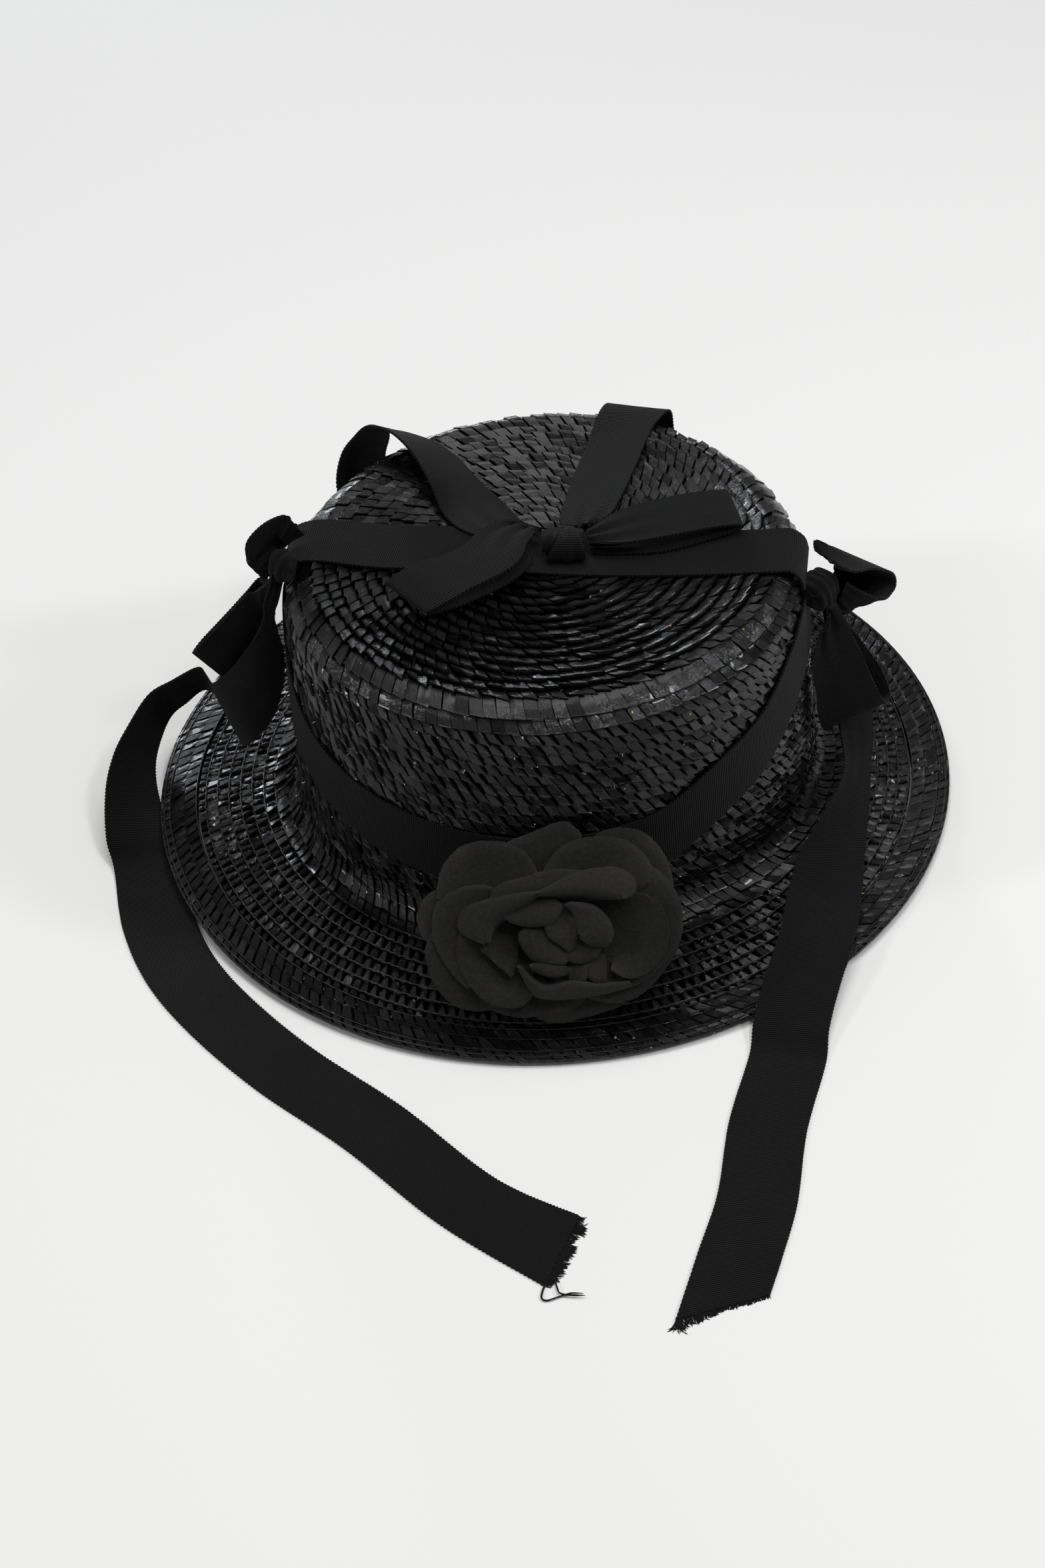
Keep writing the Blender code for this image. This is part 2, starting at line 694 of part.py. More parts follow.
add_crown(STRAW)
add_brim(STRAW)
add_edge_braid(STRAW)
add_band(GROSGRAIN)
add_ribbon("crown_ribbon", CROWN_RIBBON, GROSGRAIN)
add_ribbon("back_strap_left", BACK_STRAP_LEFT, GROSGRAIN)
add_ribbon("back_strap_right", BACK_STRAP_RIGHT, GROSGRAIN)
add_ribbon("top_loop_left", TOP_LOOP_LEFT, GROSGRAIN)
add_ribbon("top_loop_right", TOP_LOOP_RIGHT, GROSGRAIN)
add_ribbon("left_upper_loop", LEFT_UPPER_LOOP, GROSGRAIN)
add_ribbon("left_lower_loop", LEFT_LOWER_LOOP, GROSGRAIN)
add_ribbon("left_streamer", LEFT_STREAMER, GROSGRAIN)
add_ribbon("right_upper_loop", RIGHT_UPPER_LOOP, GROSGRAIN)
add_ribbon("right_lower_loop", RIGHT_LOWER_LOOP, GROSGRAIN)
add_ribbon("right_streamer", RIGHT_STREAMER, GROSGRAIN)
for knot_name, knot in KNOTS.items():
    knot_middle = place(knot.turn, knot.reach, knot.up)
    add_pillow(knot_name, knot_middle, knot.size, knot.turns, GROSGRAIN)
flower_middle, _, _, flower_outward = flower_frame()
bud_middle = flower_middle + flower_outward * (FLOWER_DEPTH * BUD_LEVEL)
base_middle = flower_middle + flower_outward * (FLOWER_DEPTH * BASE_LEVEL)
add_pillow("flower_bud", bud_middle, BUD_SIZE, (FLOWER_LEAN, 0, 0), CLOTH)
add_pillow("flower_base", base_middle, BASE_SIZE, (FLOWER_LEAN, 0, 0), CLOTH)
for petals in (OUTER_PETALS, MIDDLE_PETALS, INNER_PETALS):
    for petal_name, petal_row in petals.items():
        add_petal(petal_name, petal_row, CLOTH)
stand_on_middle()
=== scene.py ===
"""The looks of a black straw boater hat.

Lacquered straw braid in spiral rows, grosgrain ribbons with scalloped edges, and a cloth
flower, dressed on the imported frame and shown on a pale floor.
"""

import logging
import math
from dataclasses import dataclass, field
from enum import Enum
from typing import NamedTuple, Union

import bpy
import numpy as np
from mathutils import Matrix, Vector


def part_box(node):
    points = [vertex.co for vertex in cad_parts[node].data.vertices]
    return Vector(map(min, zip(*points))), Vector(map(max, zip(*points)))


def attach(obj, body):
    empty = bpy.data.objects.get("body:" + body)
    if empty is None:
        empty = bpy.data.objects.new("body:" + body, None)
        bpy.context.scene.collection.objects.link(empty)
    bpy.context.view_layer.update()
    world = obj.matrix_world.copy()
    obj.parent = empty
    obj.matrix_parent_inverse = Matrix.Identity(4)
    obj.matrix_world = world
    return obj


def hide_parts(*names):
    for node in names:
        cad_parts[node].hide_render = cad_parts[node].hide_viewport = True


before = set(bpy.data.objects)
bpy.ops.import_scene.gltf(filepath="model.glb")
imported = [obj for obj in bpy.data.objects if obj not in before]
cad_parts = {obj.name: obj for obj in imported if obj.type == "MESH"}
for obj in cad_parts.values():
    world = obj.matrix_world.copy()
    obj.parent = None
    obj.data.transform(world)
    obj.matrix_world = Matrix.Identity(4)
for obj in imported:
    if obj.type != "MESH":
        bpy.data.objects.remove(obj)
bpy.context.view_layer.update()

LOG = logging.getLogger("boater_hat")
BODY = "root"
MILLIMETRE = 0.001

# Short names for types; a feed is what a node's socket can be given
Array = np.ndarray
Socket = bpy.types.NodeSocket
Tree = bpy.types.NodeTree
Material = bpy.types.Material
Piece = bpy.types.Object
Feed = Union[Socket, float, tuple]

# Straw
CROWN_HALF_WIDTH = 0.0885
CROWN_HALF_DEPTH = 0.0924
CROWN_HEIGHT = 0.0998
CROWN_FLARE = 0.004
SHOULDER_RADIUS = 0.010
SHOULDER_FLAT = 0.55
CROWN_SHIFT_X = 0.002
CROWN_SHIFT_Y = 0.0005
BRIM_HALF_WIDTH = 0.1404
BRIM_HALF_DEPTH = 0.1475
BRIM_INNER_HEIGHT = 0.0095
BRIM_OUTER_HEIGHT = 0.0044
BRIM_FILLET = 0.010
FILLET_END = 0.30
RIM_BREADTH = 0.013
RIM_THICKNESS = 0.0036
RIM_LIFT = 0.0027
RIM_LIFT_TURN = 191.0
RIM_LIFT_SPAN = 40.0
STRAW_THICKNESS = 0.002
STRAW_CREASE = 35.0
# Cords get a high tone that paints them pale, as a highlight along them.
CORD_SHINE_AND_HIGHLIGHT = 0.9
SKIN_TONE = 0.35
CELL_LENGTH = 0.0045
BRIM_CELL = 0.0036
RING_OFFSET = 0.37
CORD_RADIUS = 0.00026
CORD_HEIGHT = 0.00012
CORD_SWAY = 0.00012
CORD_SIDES = 6
CORD_POINTS = 4
RING_HEIGHT = 0.0001
RULER_POINTS = 4000
SPIRAL_POINTS = 20000
CORD_SAMPLES = 40000

# Straw profiles: where the tip's rows start, as a share, how many points each part has, and
# the rim's section as shares of its breadth, from its edge inwards, and of its thickness
TIP_START = 0.012
TIP_POINTS = 40
ARC_POINTS = 12
WALL_POINTS = 30
SLOPE_POINTS = 20
RIM_POINTS = 65
RIM_SECTION = ((1.00, 1.20), (0.10, 0.98), (0.03, 0.86), (0.0, 0.70), (0.0, 0.55),
               (0.03, 0.40), (0.12, 0.15), (0.28, 0.0), (1.00, 0.0))

# Ribbon
RIBBON_WIDTH = 0.0245
BAND_WIDTH = 0.022
RIBBON_THICKNESS = 0.001
RIBBON_SHEET = RIBBON_THICKNESS * 0.8
WRAP_SHEET = RIBBON_THICKNESS * 0.6
CLOTH_CREASE = 50.0
RIB_PITCH = 0.00077
SCALLOP_PITCH = 0.0014
SCALLOP_DEPTH = 0.00046
RIBBON_SAMPLE = 0.00045
RIBBON_COLUMNS = 11
PLEATS = 2.5
PLEAT_DEPTH = 0.0022
KNOT_WIDTH = 0.016
KNOT_SCALE = 0.42
KNOT_CLOTH = 0.006
THREAD_RADIUS = 0.00016
TWIST_RADIUS = 0.00032
LOWEST_THREAD = 0.00002
GAP = 0.0003
STATION_SAMPLES = 60
CURVE_SAMPLES = 400
ASKEW_FROM = 0.88
ASKEW_OVER = 0.08

# Flower
FLOWER_TURN = 265.5
FLOWER_OUT = 0.0264
FLOWER_HEIGHT = 0.0299
FLOWER_DEPTH = 0.024
PAD_SINK = 0.54
CORE_RISE = 0.003
FLOWER_LEAN = 47.0
FLOWER_ROLL = 5.08
FLOWER_SHIFT = (0.0021, 0.0014, 0.0014)
PETAL_THICKNESS = 0.0005
PETAL_CREASE = 60.0
SHORTEST_CUT = 0.0101

# Camera, worked out from the ovals of the rim and the tip
CAMERA_ELEVATION = 39.22975
CAMERA_DISTANCE = 1.12245
CAMERA_ROLL = -5.08221
CAMERA_TARGET = (-0.01126, -0.00242, 0.0)
PHOTO_HEIGHT = 2352
FOCAL_PIXELS = 4700.0
SENSOR = 36.0

CROWN_LOW, CROWN_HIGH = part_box("crown")
ORIGIN = (CROWN_LOW + CROWN_HIGH) / 2 - Vector((CROWN_SHIFT_X, CROWN_SHIFT_Y, 0.0))
ORIGIN.z = 0.0


class Slot(Enum):
    """The record's material slots."""

    STRAW = "black_straw"
    RIBBON = "black_grosgrain"
    CLOTH = "charcoal_cloth"


class Hold(Enum):
    """How a sheet of cloth is held."""

    LAID = "laid"
    FOLDED = "folded"
    GATHERED = "gathered"
    STRETCHED = "stretched"


class Station(NamedTuple):
    """One cross line of a ribbon.

    turn is the way round the hat in degrees from its right side, reach is 0 at the
    middle, 1 at the crown wall and 2 at the brim edge, up is a share of the crown
    height. bearing and tilt point the cross line, spread is a share of the width.
    """

    turn: float
    reach: float
    up: float
    bearing: float
    tilt: float
    spread: float


class Line(NamedTuple):
    """One line across a petal: its height over the flower's middle and its points, right
    and up in the flower's face, all in millimetres."""

    level: float
    points: tuple


class Petal(NamedTuple):
    """One petal: how far it bulges between its lines, how far its rim curls down, and its
    lines from the root to the rim, in millimetres."""

    bulge: float
    curl: float
    lines: tuple


def cut(hold: Hold, *rows: tuple) -> tuple:
    """Return how a ribbon is held and its stations, from rows of their numbers."""
    return hold, tuple(Station(*row) for row in rows)


def petal(bulge: float, curl: float, *rows: tuple) -> Petal:
    """Return a petal whose lines are rows of a level and the points on it."""
    return Petal(bulge, curl, tuple(Line(level, tuple(points)) for level, *points in rows))


RIBBONS = {
    "crown_ribbon": cut(Hold.STRETCHED, (169, 1.02, 0.893, 80, 0, 0.98),
        (169, 1.01, 0.935, 80, 0, 0.98), (169, 0.985, 0.978, 80, 0, 0.98),
        (169, 0.92, 1.005, 79, 0, 0.98), (169, 0.82, 1.009, 77, 0, 0.99),
        (172, 0.59, 1.009, 74, 0, 1.00), (174, 0.31, 1.009, 78, 0, 1.00),
        (322, 0.10, 1.009, 79, 0, 1.00), (341, 0.33, 1.009, 83, 0, 1.00),
        (346, 0.60, 1.009, 83, 0, 1.00), (349, 0.88, 1.009, 83, 0, 1.00),
        (350, 0.95, 1.003, 82, 0, 1.00), (350, 0.995, 0.972, 80, 0, 1.00),
        (350, 1.02, 0.925, 80, 0, 1.00)),
    "back_strap_left": cut(Hold.FOLDED, (120, 0.09, 1.022, 185, 0, 0.45),
        (141, 0.17, 1.022, 203, 0, 0.60), (136, 0.28, 1.022, 216, 0, 0.80),
        (129, 0.45, 1.023, 238, 0, 0.96), (124, 0.60, 1.043, 244, 13, 1.00),
        (123, 0.74, 1.066, 250, 23, 1.00), (125, 0.85, 1.093, 257, 32, 1.00),
        (126, 0.95, 1.084, 258, 36, 1.00), (125, 1.04, 1.045, 248, 35, 1.00),
        (125, 1.12, 0.985, 237, 33, 1.00), (126, 1.19, 0.905, 227, 29, 1.00),
        (127, 1.20, 0.800, 221, 20, 1.00), (127, 1.13, 0.690, 218, 10, 1.00),
        (128, 1.06, 0.605, 218, 2, 1.00)),
    "back_strap_right": cut(Hold.FOLDED, (27, 0.18, 1.022, 190, 0, 0.35),
        (40, 0.24, 1.020, 186, 0, 0.74), (58, 0.50, 1.011, 197, 0, 0.97),
        (63, 0.76, 1.010, 194, 0, 0.97), (64, 0.94, 1.012, 170, 0, 0.96),
        (64, 1.03, 0.985, 157, 0, 0.96), (64, 1.07, 0.920, 154, 0, 0.96),
        (64, 1.08, 0.752, 154, 0, 0.96), (64, 1.09, 0.585, 154, 0, 0.97)),
    "top_loop_left": cut(Hold.FOLDED, (135, 0.03, 1.058, 131, 0, 0.22),
        (150, 0.08, 1.068, 140, 0, 0.46), (190, 0.13, 1.082, 147, 0, 0.70),
        (219, 0.27, 1.087, 146, 0, 0.88), (214, 0.46, 1.079, 136, 0, 1.00),
        (213, 0.57, 1.063, 126, 0, 0.97), (212, 0.61, 1.048, 124, 0, 0.95),
        (212, 0.56, 1.033, 126, 0, 0.95), (215, 0.46, 1.030, 135, 0, 0.93),
        (218, 0.25, 1.031, 141, 0, 0.88), (218, 0.11, 1.034, 141, 0, 0.50)),
    "top_loop_right": cut(Hold.FOLDED, (345, 0.19, 1.060, 93, 0, 0.35),
        (353, 0.31, 1.076, 96, 0, 0.76), (0, 0.47, 1.078, 98, 0, 0.89),
        (4, 0.65, 1.068, 98, 0, 0.89), (5, 0.76, 1.051, 98, 0, 0.89),
        (4, 0.65, 1.028, 98, 0, 0.89), (358, 0.42, 1.022, 97, 0, 0.86),
        (345, 0.19, 1.026, 93, 0, 0.35)),
    "left_upper_loop": cut(Hold.FOLDED, (175, 0.99, 1.080, 64, -55, 0.22),
        (175, 0.95, 1.115, 64, -55, 0.50), (175, 0.93, 1.134, 64, -55, 0.72),
        (175, 0.98, 1.116, 64, -55, 0.81), (175, 1.06, 1.076, 64, -55, 0.88),
        (176, 1.14, 1.030, 64, -55, 0.88), (177, 1.17, 0.994, 64, -55, 0.58),
        (177, 1.14, 0.974, 64, -55, 0.45), (177, 1.08, 1.008, 64, -55, 0.36),
        (176, 1.01, 1.042, 64, -55, 0.24)),
    "left_lower_loop": cut(Hold.FOLDED, (180, 1.06, 0.940, 43, -57, 0.22),
        (178, 1.14, 0.872, 43, -57, 0.42), (175, 1.19, 0.787, 52, -60, 0.90),
        (175, 1.33, 0.682, 43, -57, 0.99), (175, 1.49, 0.589, 43, -57, 0.99),
        (174, 1.57, 0.533, 43, -57, 0.99), (172, 1.51, 0.559, 43, -57, 0.99),
        (172, 1.35, 0.654, 43, -57, 0.99), (172, 1.20, 0.765, 52, -60, 0.90),
        (172, 1.14, 0.850, 43, -57, 0.42), (178, 1.06, 0.915, 43, -57, 0.22)),
    "left_streamer": cut(Hold.LAID, (180, 1.03, 0.985, 204, 66, 0.30),
        (181, 1.07, 0.920, 208, 67, 0.32), (181, 1.11, 0.850, 214, 68, 0.36),
        (180, 1.11, 0.724, 225, 69, 0.80), (180, 1.17, 0.616, 200, 68, 0.94),
        (180, 1.29, 0.496, 155, 60, 0.98), (179, 1.43, 0.407, 127, 49, 1.00),
        (174, 1.52, 0.323, 135, 59, 1.00), (169, 1.59, 0.310, 200, 70, 1.00),
        (165, 1.74, 0.330, 266, 56, 1.00), (167, 1.90, 0.298, 264, 57, 1.00),
        (168, 2.03, 0.253, 251, 56, 1.00), (171, 2.12, 0.195, 240, 48, 1.00),
        (175, 2.18, 0.145, 229, 43, 1.00), (180, 2.19, 0.095, 216, 35, 1.00),
        (187, 2.16, 0.045, 198, 18, 1.00), (192, 2.13, 0.010, 187, 3, 1.00),
        (203, 2.21, 0.005, 193, 0, 1.00), (213, 2.28, 0.005, 204, 0, 1.00),
        (223, 2.33, 0.005, 214, 0, 1.00), (235, 2.43, 0.005, 221, 0, 1.00),
        (248, 2.64, 0.005, 221, 0, 1.00), (259, 3.09, 0.005, 223, 0, 1.00),
        (267, 3.45, 0.005, 245, 0, 1.20)),
    "right_upper_loop": cut(Hold.FOLDED, (351, 1.19, 0.950, 104, -14, 0.40),
        (351, 1.21, 0.945, 120, -9, 0.85), (354, 1.27, 0.938, 137, 5, 0.98),
        (355, 1.37, 0.907, 157, 18, 1.00), (356, 1.42, 0.852, 151, 15, 0.95),
        (354, 1.40, 0.777, 154, -16, 0.90), (351, 1.38, 0.765, 149, -32, 0.78),
        (349, 1.33, 0.800, 134, -60, 0.66), (348, 1.27, 0.860, 128, -69, 0.45)),
    "right_lower_loop": cut(Hold.FOLDED, (344, 1.19, 0.815, 200, -66, 0.40),
        (343, 1.19, 0.711, 180, -52, 0.78), (344, 1.25, 0.572, 173, -46, 0.90),
        (345, 1.29, 0.456, 172, -38, 0.96), (347, 1.34, 0.350, 173, -30, 0.98),
        (350, 1.38, 0.343, 172, -31, 0.98), (352, 1.34, 0.408, 174, -40, 0.96),
        (352, 1.27, 0.503, 172, -47, 0.86), (350, 1.22, 0.640, 160, -50, 0.60),
        (349, 1.20, 0.745, 150, -56, 0.25)),
    "right_streamer": cut(Hold.LAID, (356, 1.17, 0.700, 63, -31, 0.32),
        (359, 1.26, 0.480, 42, -19, 0.64), (358, 1.34, 0.290, 44, -16, 0.88),
        (350, 1.36, 0.200, 49, -26, 0.87), (342, 1.38, 0.172, 50, -30, 0.85),
        (331, 1.40, 0.152, 30, -22, 0.90), (322, 1.46, 0.128, 8, -14, 0.95),
        (314, 1.61, 0.106, -10, -7, 0.99), (307, 1.80, 0.088, -14, -4, 1.00),
        (301, 1.98, 0.064, -15, -2, 1.00), (296, 2.19, 0.030, -15, 0, 1.00),
        (293, 2.39, 0.005, -16, 0, 1.00), (287, 2.81, 0.005, -17, 0, 1.00),
        (283, 3.30, 0.005, -16, 0, 1.00), (280, 3.66, 0.005, -10, 0, 1.03),
        (277.6, 4.00, 0.005, 12.7, 0, 1.19)),
}

PETALS = {
    "petal_outer_9": petal(1.0, 1.0, (0.0, (-24, -2), (-22, 4), (-22, 8)), (1.0, (-42, -3.5),
        (-44, 1.5), (-43.7, 6.8), (-41.3, 10.8), (-38, 13))),
    "petal_outer_3": petal(1.0, 1.2, (0.0, (10, 8), (16, 8), (22, 4)), (1.5, (12, 29.5), (16, 32),
        (22, 33), (28.7, 31.5), (34, 26.8), (37.7, 19.5), (38.7, 12))),
    "petal_outer_2": petal(1.2, 2.6, (0.0, (-8, 14), (0, 14), (4, 16)), (3.5, (-16, 26),
        (-15.5, 28), (-8, 31), (2.3, 35), (6.7, 33), (8.7, 30), (5, 24))),
    "petal_outer_6": petal(1.0, 1.0, (0.0, (14, -9), (6, -12), (-2, -12)), (1.0, (25, -21),
        (21.3, -24.5), (16, -26.5), (8.7, -28.5), (1.3, -30), (-5.3, -28.6), (-9, -26))),
    "petal_outer_7": petal(1.0, 1.2, (1.0, (4, -10), (-4, -12), (-12, -10)), (3.0, (10.7, -20),
        (8.7, -24), (4, -26.5), (-2, -27.2), (-10.7, -28.2), (-19.3, -26.2), (-23, -22))),
    "petal_outer_8": petal(1.5, 1.4, (1.0, (-22, 3), (-18, -6), (-12, -10)), (3.0, (-39, 1),
        (-41.5, -6.5), (-40.5, -12.5), (-38, -18.5), (-32.7, -24), (-25.3, -26.2), (-18, -25))),
    "petal_outer_5": petal(1.2, 1.2, (2.0, (17, 0), (15, -7), (8, -10)), (4.5, (40.7, -1),
        (39.3, -7), (35.3, -13.2), (30.7, -18.5), (25.3, -22.2), (18.7, -23.6), (11, -22))),
    "petal_outer_1": petal(1.8, 2.4, (1.0, (-22, 3), (-14, 6), (-6, 8)), (5.0, (-38, 10),
        (-36.5, 19), (-32, 25.3), (-25.5, 28.2), (-16, 28), (-9.5, 25), (-5.7, 19))),
    "petal_outer_4": petal(1.2, 1.4, (4.5, (12, 10), (17, 3), (18, -4), (14, -8)), (7.0, (19, 18),
        (25.3, 21.5), (32, 20), (36.7, 15.5), (40.3, 9.5), (41.3, 2), (40, -4.5), (35, -11))),
    "petal_middle_1": petal(2.0, 2.0, (3.0, (-1, 9), (10, 9), (20, 7)), (7.5, (-3.4, 19),
        (0.7, 25), (8, 29), (18, 29.8), (25.3, 27.4), (30.7, 21.5), (32, 16))),
    "petal_middle_6": petal(1.6, 2.6, (3.0, (-14, -12), (-18, -4), (-15, 2), (-12, 7)),
        (7.0, (-28, -19), (-34.5, -12), (-38.6, -4), (-39.2, 2.5), (-38, 8.3), (-34.3, 12),
        (-29, 13.8), (-23, 14.2), (-18, 12.5))),
    "petal_middle_3": petal(1.0, 1.2, (4.0, (16, 0), (15, -7), (8, -10)), (8.0, (37, -2), (36, -9),
        (31.5, -14.6), (25.3, -18.2), (18.5, -19.6), (12, -19))),
    "petal_middle_5": petal(0.8, 0.8, (4.0, (-18, -2), (-12, -6), (-6, -8)), (9.0, (-30, 0),
        (-31.5, -7), (-30, -13.2), (-26.7, -18.5), (-22, -23), (-16, -25.1), (-10.7, -24.7),
        (-7.4, -21.5), (-6.5, -17))),
    "petal_middle_2": petal(0.0, 0.4, (4.0, (10, 8), (12, 2), (12, -4), (12, -9)), (6.0, (19, 10),
        (24, 3), (24, -4), (18, -10)), (11.0, (22.7, 12.8), (32, 9.8), (35.8, 4), (36.7, -2.5),
        (34.3, -9.2), (29.3, -14.3), (23.3, -15.8), (18, -13))),
    "petal_middle_7": petal(0.4, 0.8, (5.0, (-17, 7), (-12, 8), (-6, 10), (0, 11), (6, 12)),
        (10.0, (-19, 9.5), (-12, 11.5), (-5, 12.5), (3, 14.5), (9, 17)), (9.0, (-20.5, 9.8),
        (-19.3, 12.8), (-16, 15), (-10, 16.5), (-4, 18.5), (2, 19.3), (9.5, 18.6))),
    "petal_middle_4": petal(0.3, 0.6, (2.0, (-11, -11), (-2, -16.5), (6, -15.6), (15, -16.2),
        (23, -15.5)), (11.5, (-12, -12), (-4, -19), (5, -17.5), (14, -18.3), (24.5, -17.2)),
        (9.0, (-10.5, -14.5), (-5.5, -21.6), (5.3, -22.3), (16, -20.6), (24.8, -18))),
    "petal_inner_3": petal(0.8, 1.0, (2.0, (-20.5, -4.2), (-18.3, 0), (-15, 3), (-9, 6), (-3, 10)),
        (13.5, (-21.5, -4.4), (-20.8, 1), (-17.5, 4.2), (-11, 8), (-4.7, 11.4)),
        (11.0, (-22.5, -4.8), (-29.2, -1.6), (-30.8, 2.4), (-28.7, 6.6), (-23, 9), (-16, 10.9),
        (-10, 11.8), (-4.5, 12.2))),
    "petal_inner_1": petal(0.8, 0.8, (2.0, (-4.5, 10), (5, 9), (13, 9), (20.5, 9.6)),
        (14.5, (-5, 11), (5.3, 12), (14, 12), (22, 10)), (12.5, (-5.5, 11.8), (-1.3, 14),
        (4, 16.7), (10.7, 19), (18, 19.9), (23.4, 18.4), (26, 15), (25.2, 11.4), (22.5, 9.6))),
    "inner_left_fold": petal(0.4, 0.5, (6.0, (-20, 2.8), (-15, 2), (-10.5, 0)),
        (8.0, (-22.5, -4.5), (-17.5, -9), (-12.5, -13)), (10.5, (-23.8, -6.5), (-19, -10.8),
        (-14, -15.3))),
    "inner_lower_fold": petal(0.8, 0.3, (7.5, (4.5, -9), (12.3, -8.6)), (9.0, (4.6, -16.8),
        (7, -17.5), (9.5, -17), (11.2, -13.5))),
    "inner_right_fold": petal(0.8, 0.3, (7.0, (12.5, -7), (16.7, -5.6)), (9.5, (10.5, -15),
        (13.5, -17.2), (16.9, -17.2))),
    "petal_inner_5": petal(0.9, 0.4, (8.5, (1, -5), (6.7, -1), (12.5, -3.4), (14.6, -5)),
        (10.5, (3, -9.6), (8, -10.9), (12.6, -9.5), (15, -6.2))),
    "petal_inner_4": petal(1.6, 0.6, (9.0, (-8.5, 0.8), (-4.2, 1.0), (-0.6, -1.6), (2.6, -5),
        (4.6, -9.6)), (11.0, (-11.4, -1), (-11.2, -4), (-9.5, -7), (-6.7, -9.8), (-1.3, -11.2),
        (3.4, -11.6))),
    "inner_lower_roll": petal(1.2, 0.6, (10.0, (-8, -11.4), (-2.7, -10.4), (3.3, -11.8)),
        (11.5, (-7.6, -12.2), (-4.7, -14.2), (0, -15.3), (4.6, -14.2), (5.2, -12.6))),
    "flower_bud": petal(1.4, 0.5, (9.0, (-1, 8.5), (4.5, 8.5)), (12.0, (-3.2, 1), (-1.6, -2.8),
        (2, -5.2), (4.9, -7.1), (7, -4.5), (7.8, 0.5))),
    "petal_inner_2": petal(1.8, 0.8, (10.0, (-16.6, 5.2), (-12, 7.6), (-6, 10.6), (-0.7, 10.2),
        (2.2, 8)), (13.0, (-16, 3.4), (-12, 1.4), (-6.7, 0.8), (-1.3, 1.6), (1.2, 4.2), (2.6, 7))),
    "inner_right_bud": petal(2.4, 0.6, (13.0, (3.2, 7.8), (5.7, 5.5), (7, 2.1), (7.8, -1.8)),
        (11.0, (5.3, 8.6), (10, 8.3), (14, 6.8), (17.7, 2.6), (18.8, -2.2), (16.3, -5.6),
        (12, -5.2), (8.3, -2.8))),
}

# Middle height of the band round the crown: turn in degrees, share of crown height
BAND_LINE = (
    (0, 0.715), (40, 0.50), (90, 0.42), (140, 0.47), (160, 0.60), (172, 0.755), (193, 0.565),
    (205, 0.495), (227, 0.435), (260, 0.400), (288, 0.425), (305, 0.525), (318, 0.585),
    (331, 0.68), (347, 0.755),
)

# A twisted thread at the left streamer's cut, from its corner: right, to the back and up
LEFT_TWIST = ((0.6, 0.8, 0), (-0.6, -2.2, 0), (-1.0, -5.0, 0), (0.6, -6.0, 0), (4.0, -5.0, 0),
              (8.0, -4.0, 0), (11.5, -4.6, 0))
LEFT_STRAND = ((3.2, 2.0, 0), (3.8, -1.4, 0), (4.6, -4.0, 0), (8.0, -5.2, 0), (12.0, -5.8, 0))

# Where the knots sit and where the loose thread starts: turn, reach and share of crown height
TOP_KNOT = (322, 0.105, 1.062)
LEFT_KNOT = (180, 0.99, 1.022)
RIGHT_KNOT = (348, 1.11, 0.868)
THREAD_START = (349, 1.14, 0.885)

# The loose thread of the right knot, from its start: right, up and towards the viewer
KNOT_THREAD = ((-7.4, -1.6, 5.5), (-4.2, -5.1, 7.5), (-0.9, -4.0, 8.0), (0.2, -8.4, 8.5),
               (3.1, -9.6, 8.5), (5.8, -10.2, 8.5), (7.3, -12.4, 8.5), (6.9, -14.4, 8.5),
               (4.4, -16.2, 8.5))

# The band wound round the top knot: its shift, its two half sizes across its axis, its
# breadth and the turn of its axis in degrees
WRAP_SHIFT = (0.0012, -0.0022, 0.0)
WRAP_REACH = (0.0060, 0.0044)
WRAP_BREADTH = 0.0095
WRAP_TURN = -8.0

# How long the frayed threads are across each streamer's cut, in millimetres
LEFT_FRAY = (2.2, 2.8, 3.2, 2.6, 3.4, 3.0, 3.2, 3.6, 3.0)
RIGHT_FRAY = (5.4, 4.0, 1.8, 1.2, 1.3, 1.1, 0.9)


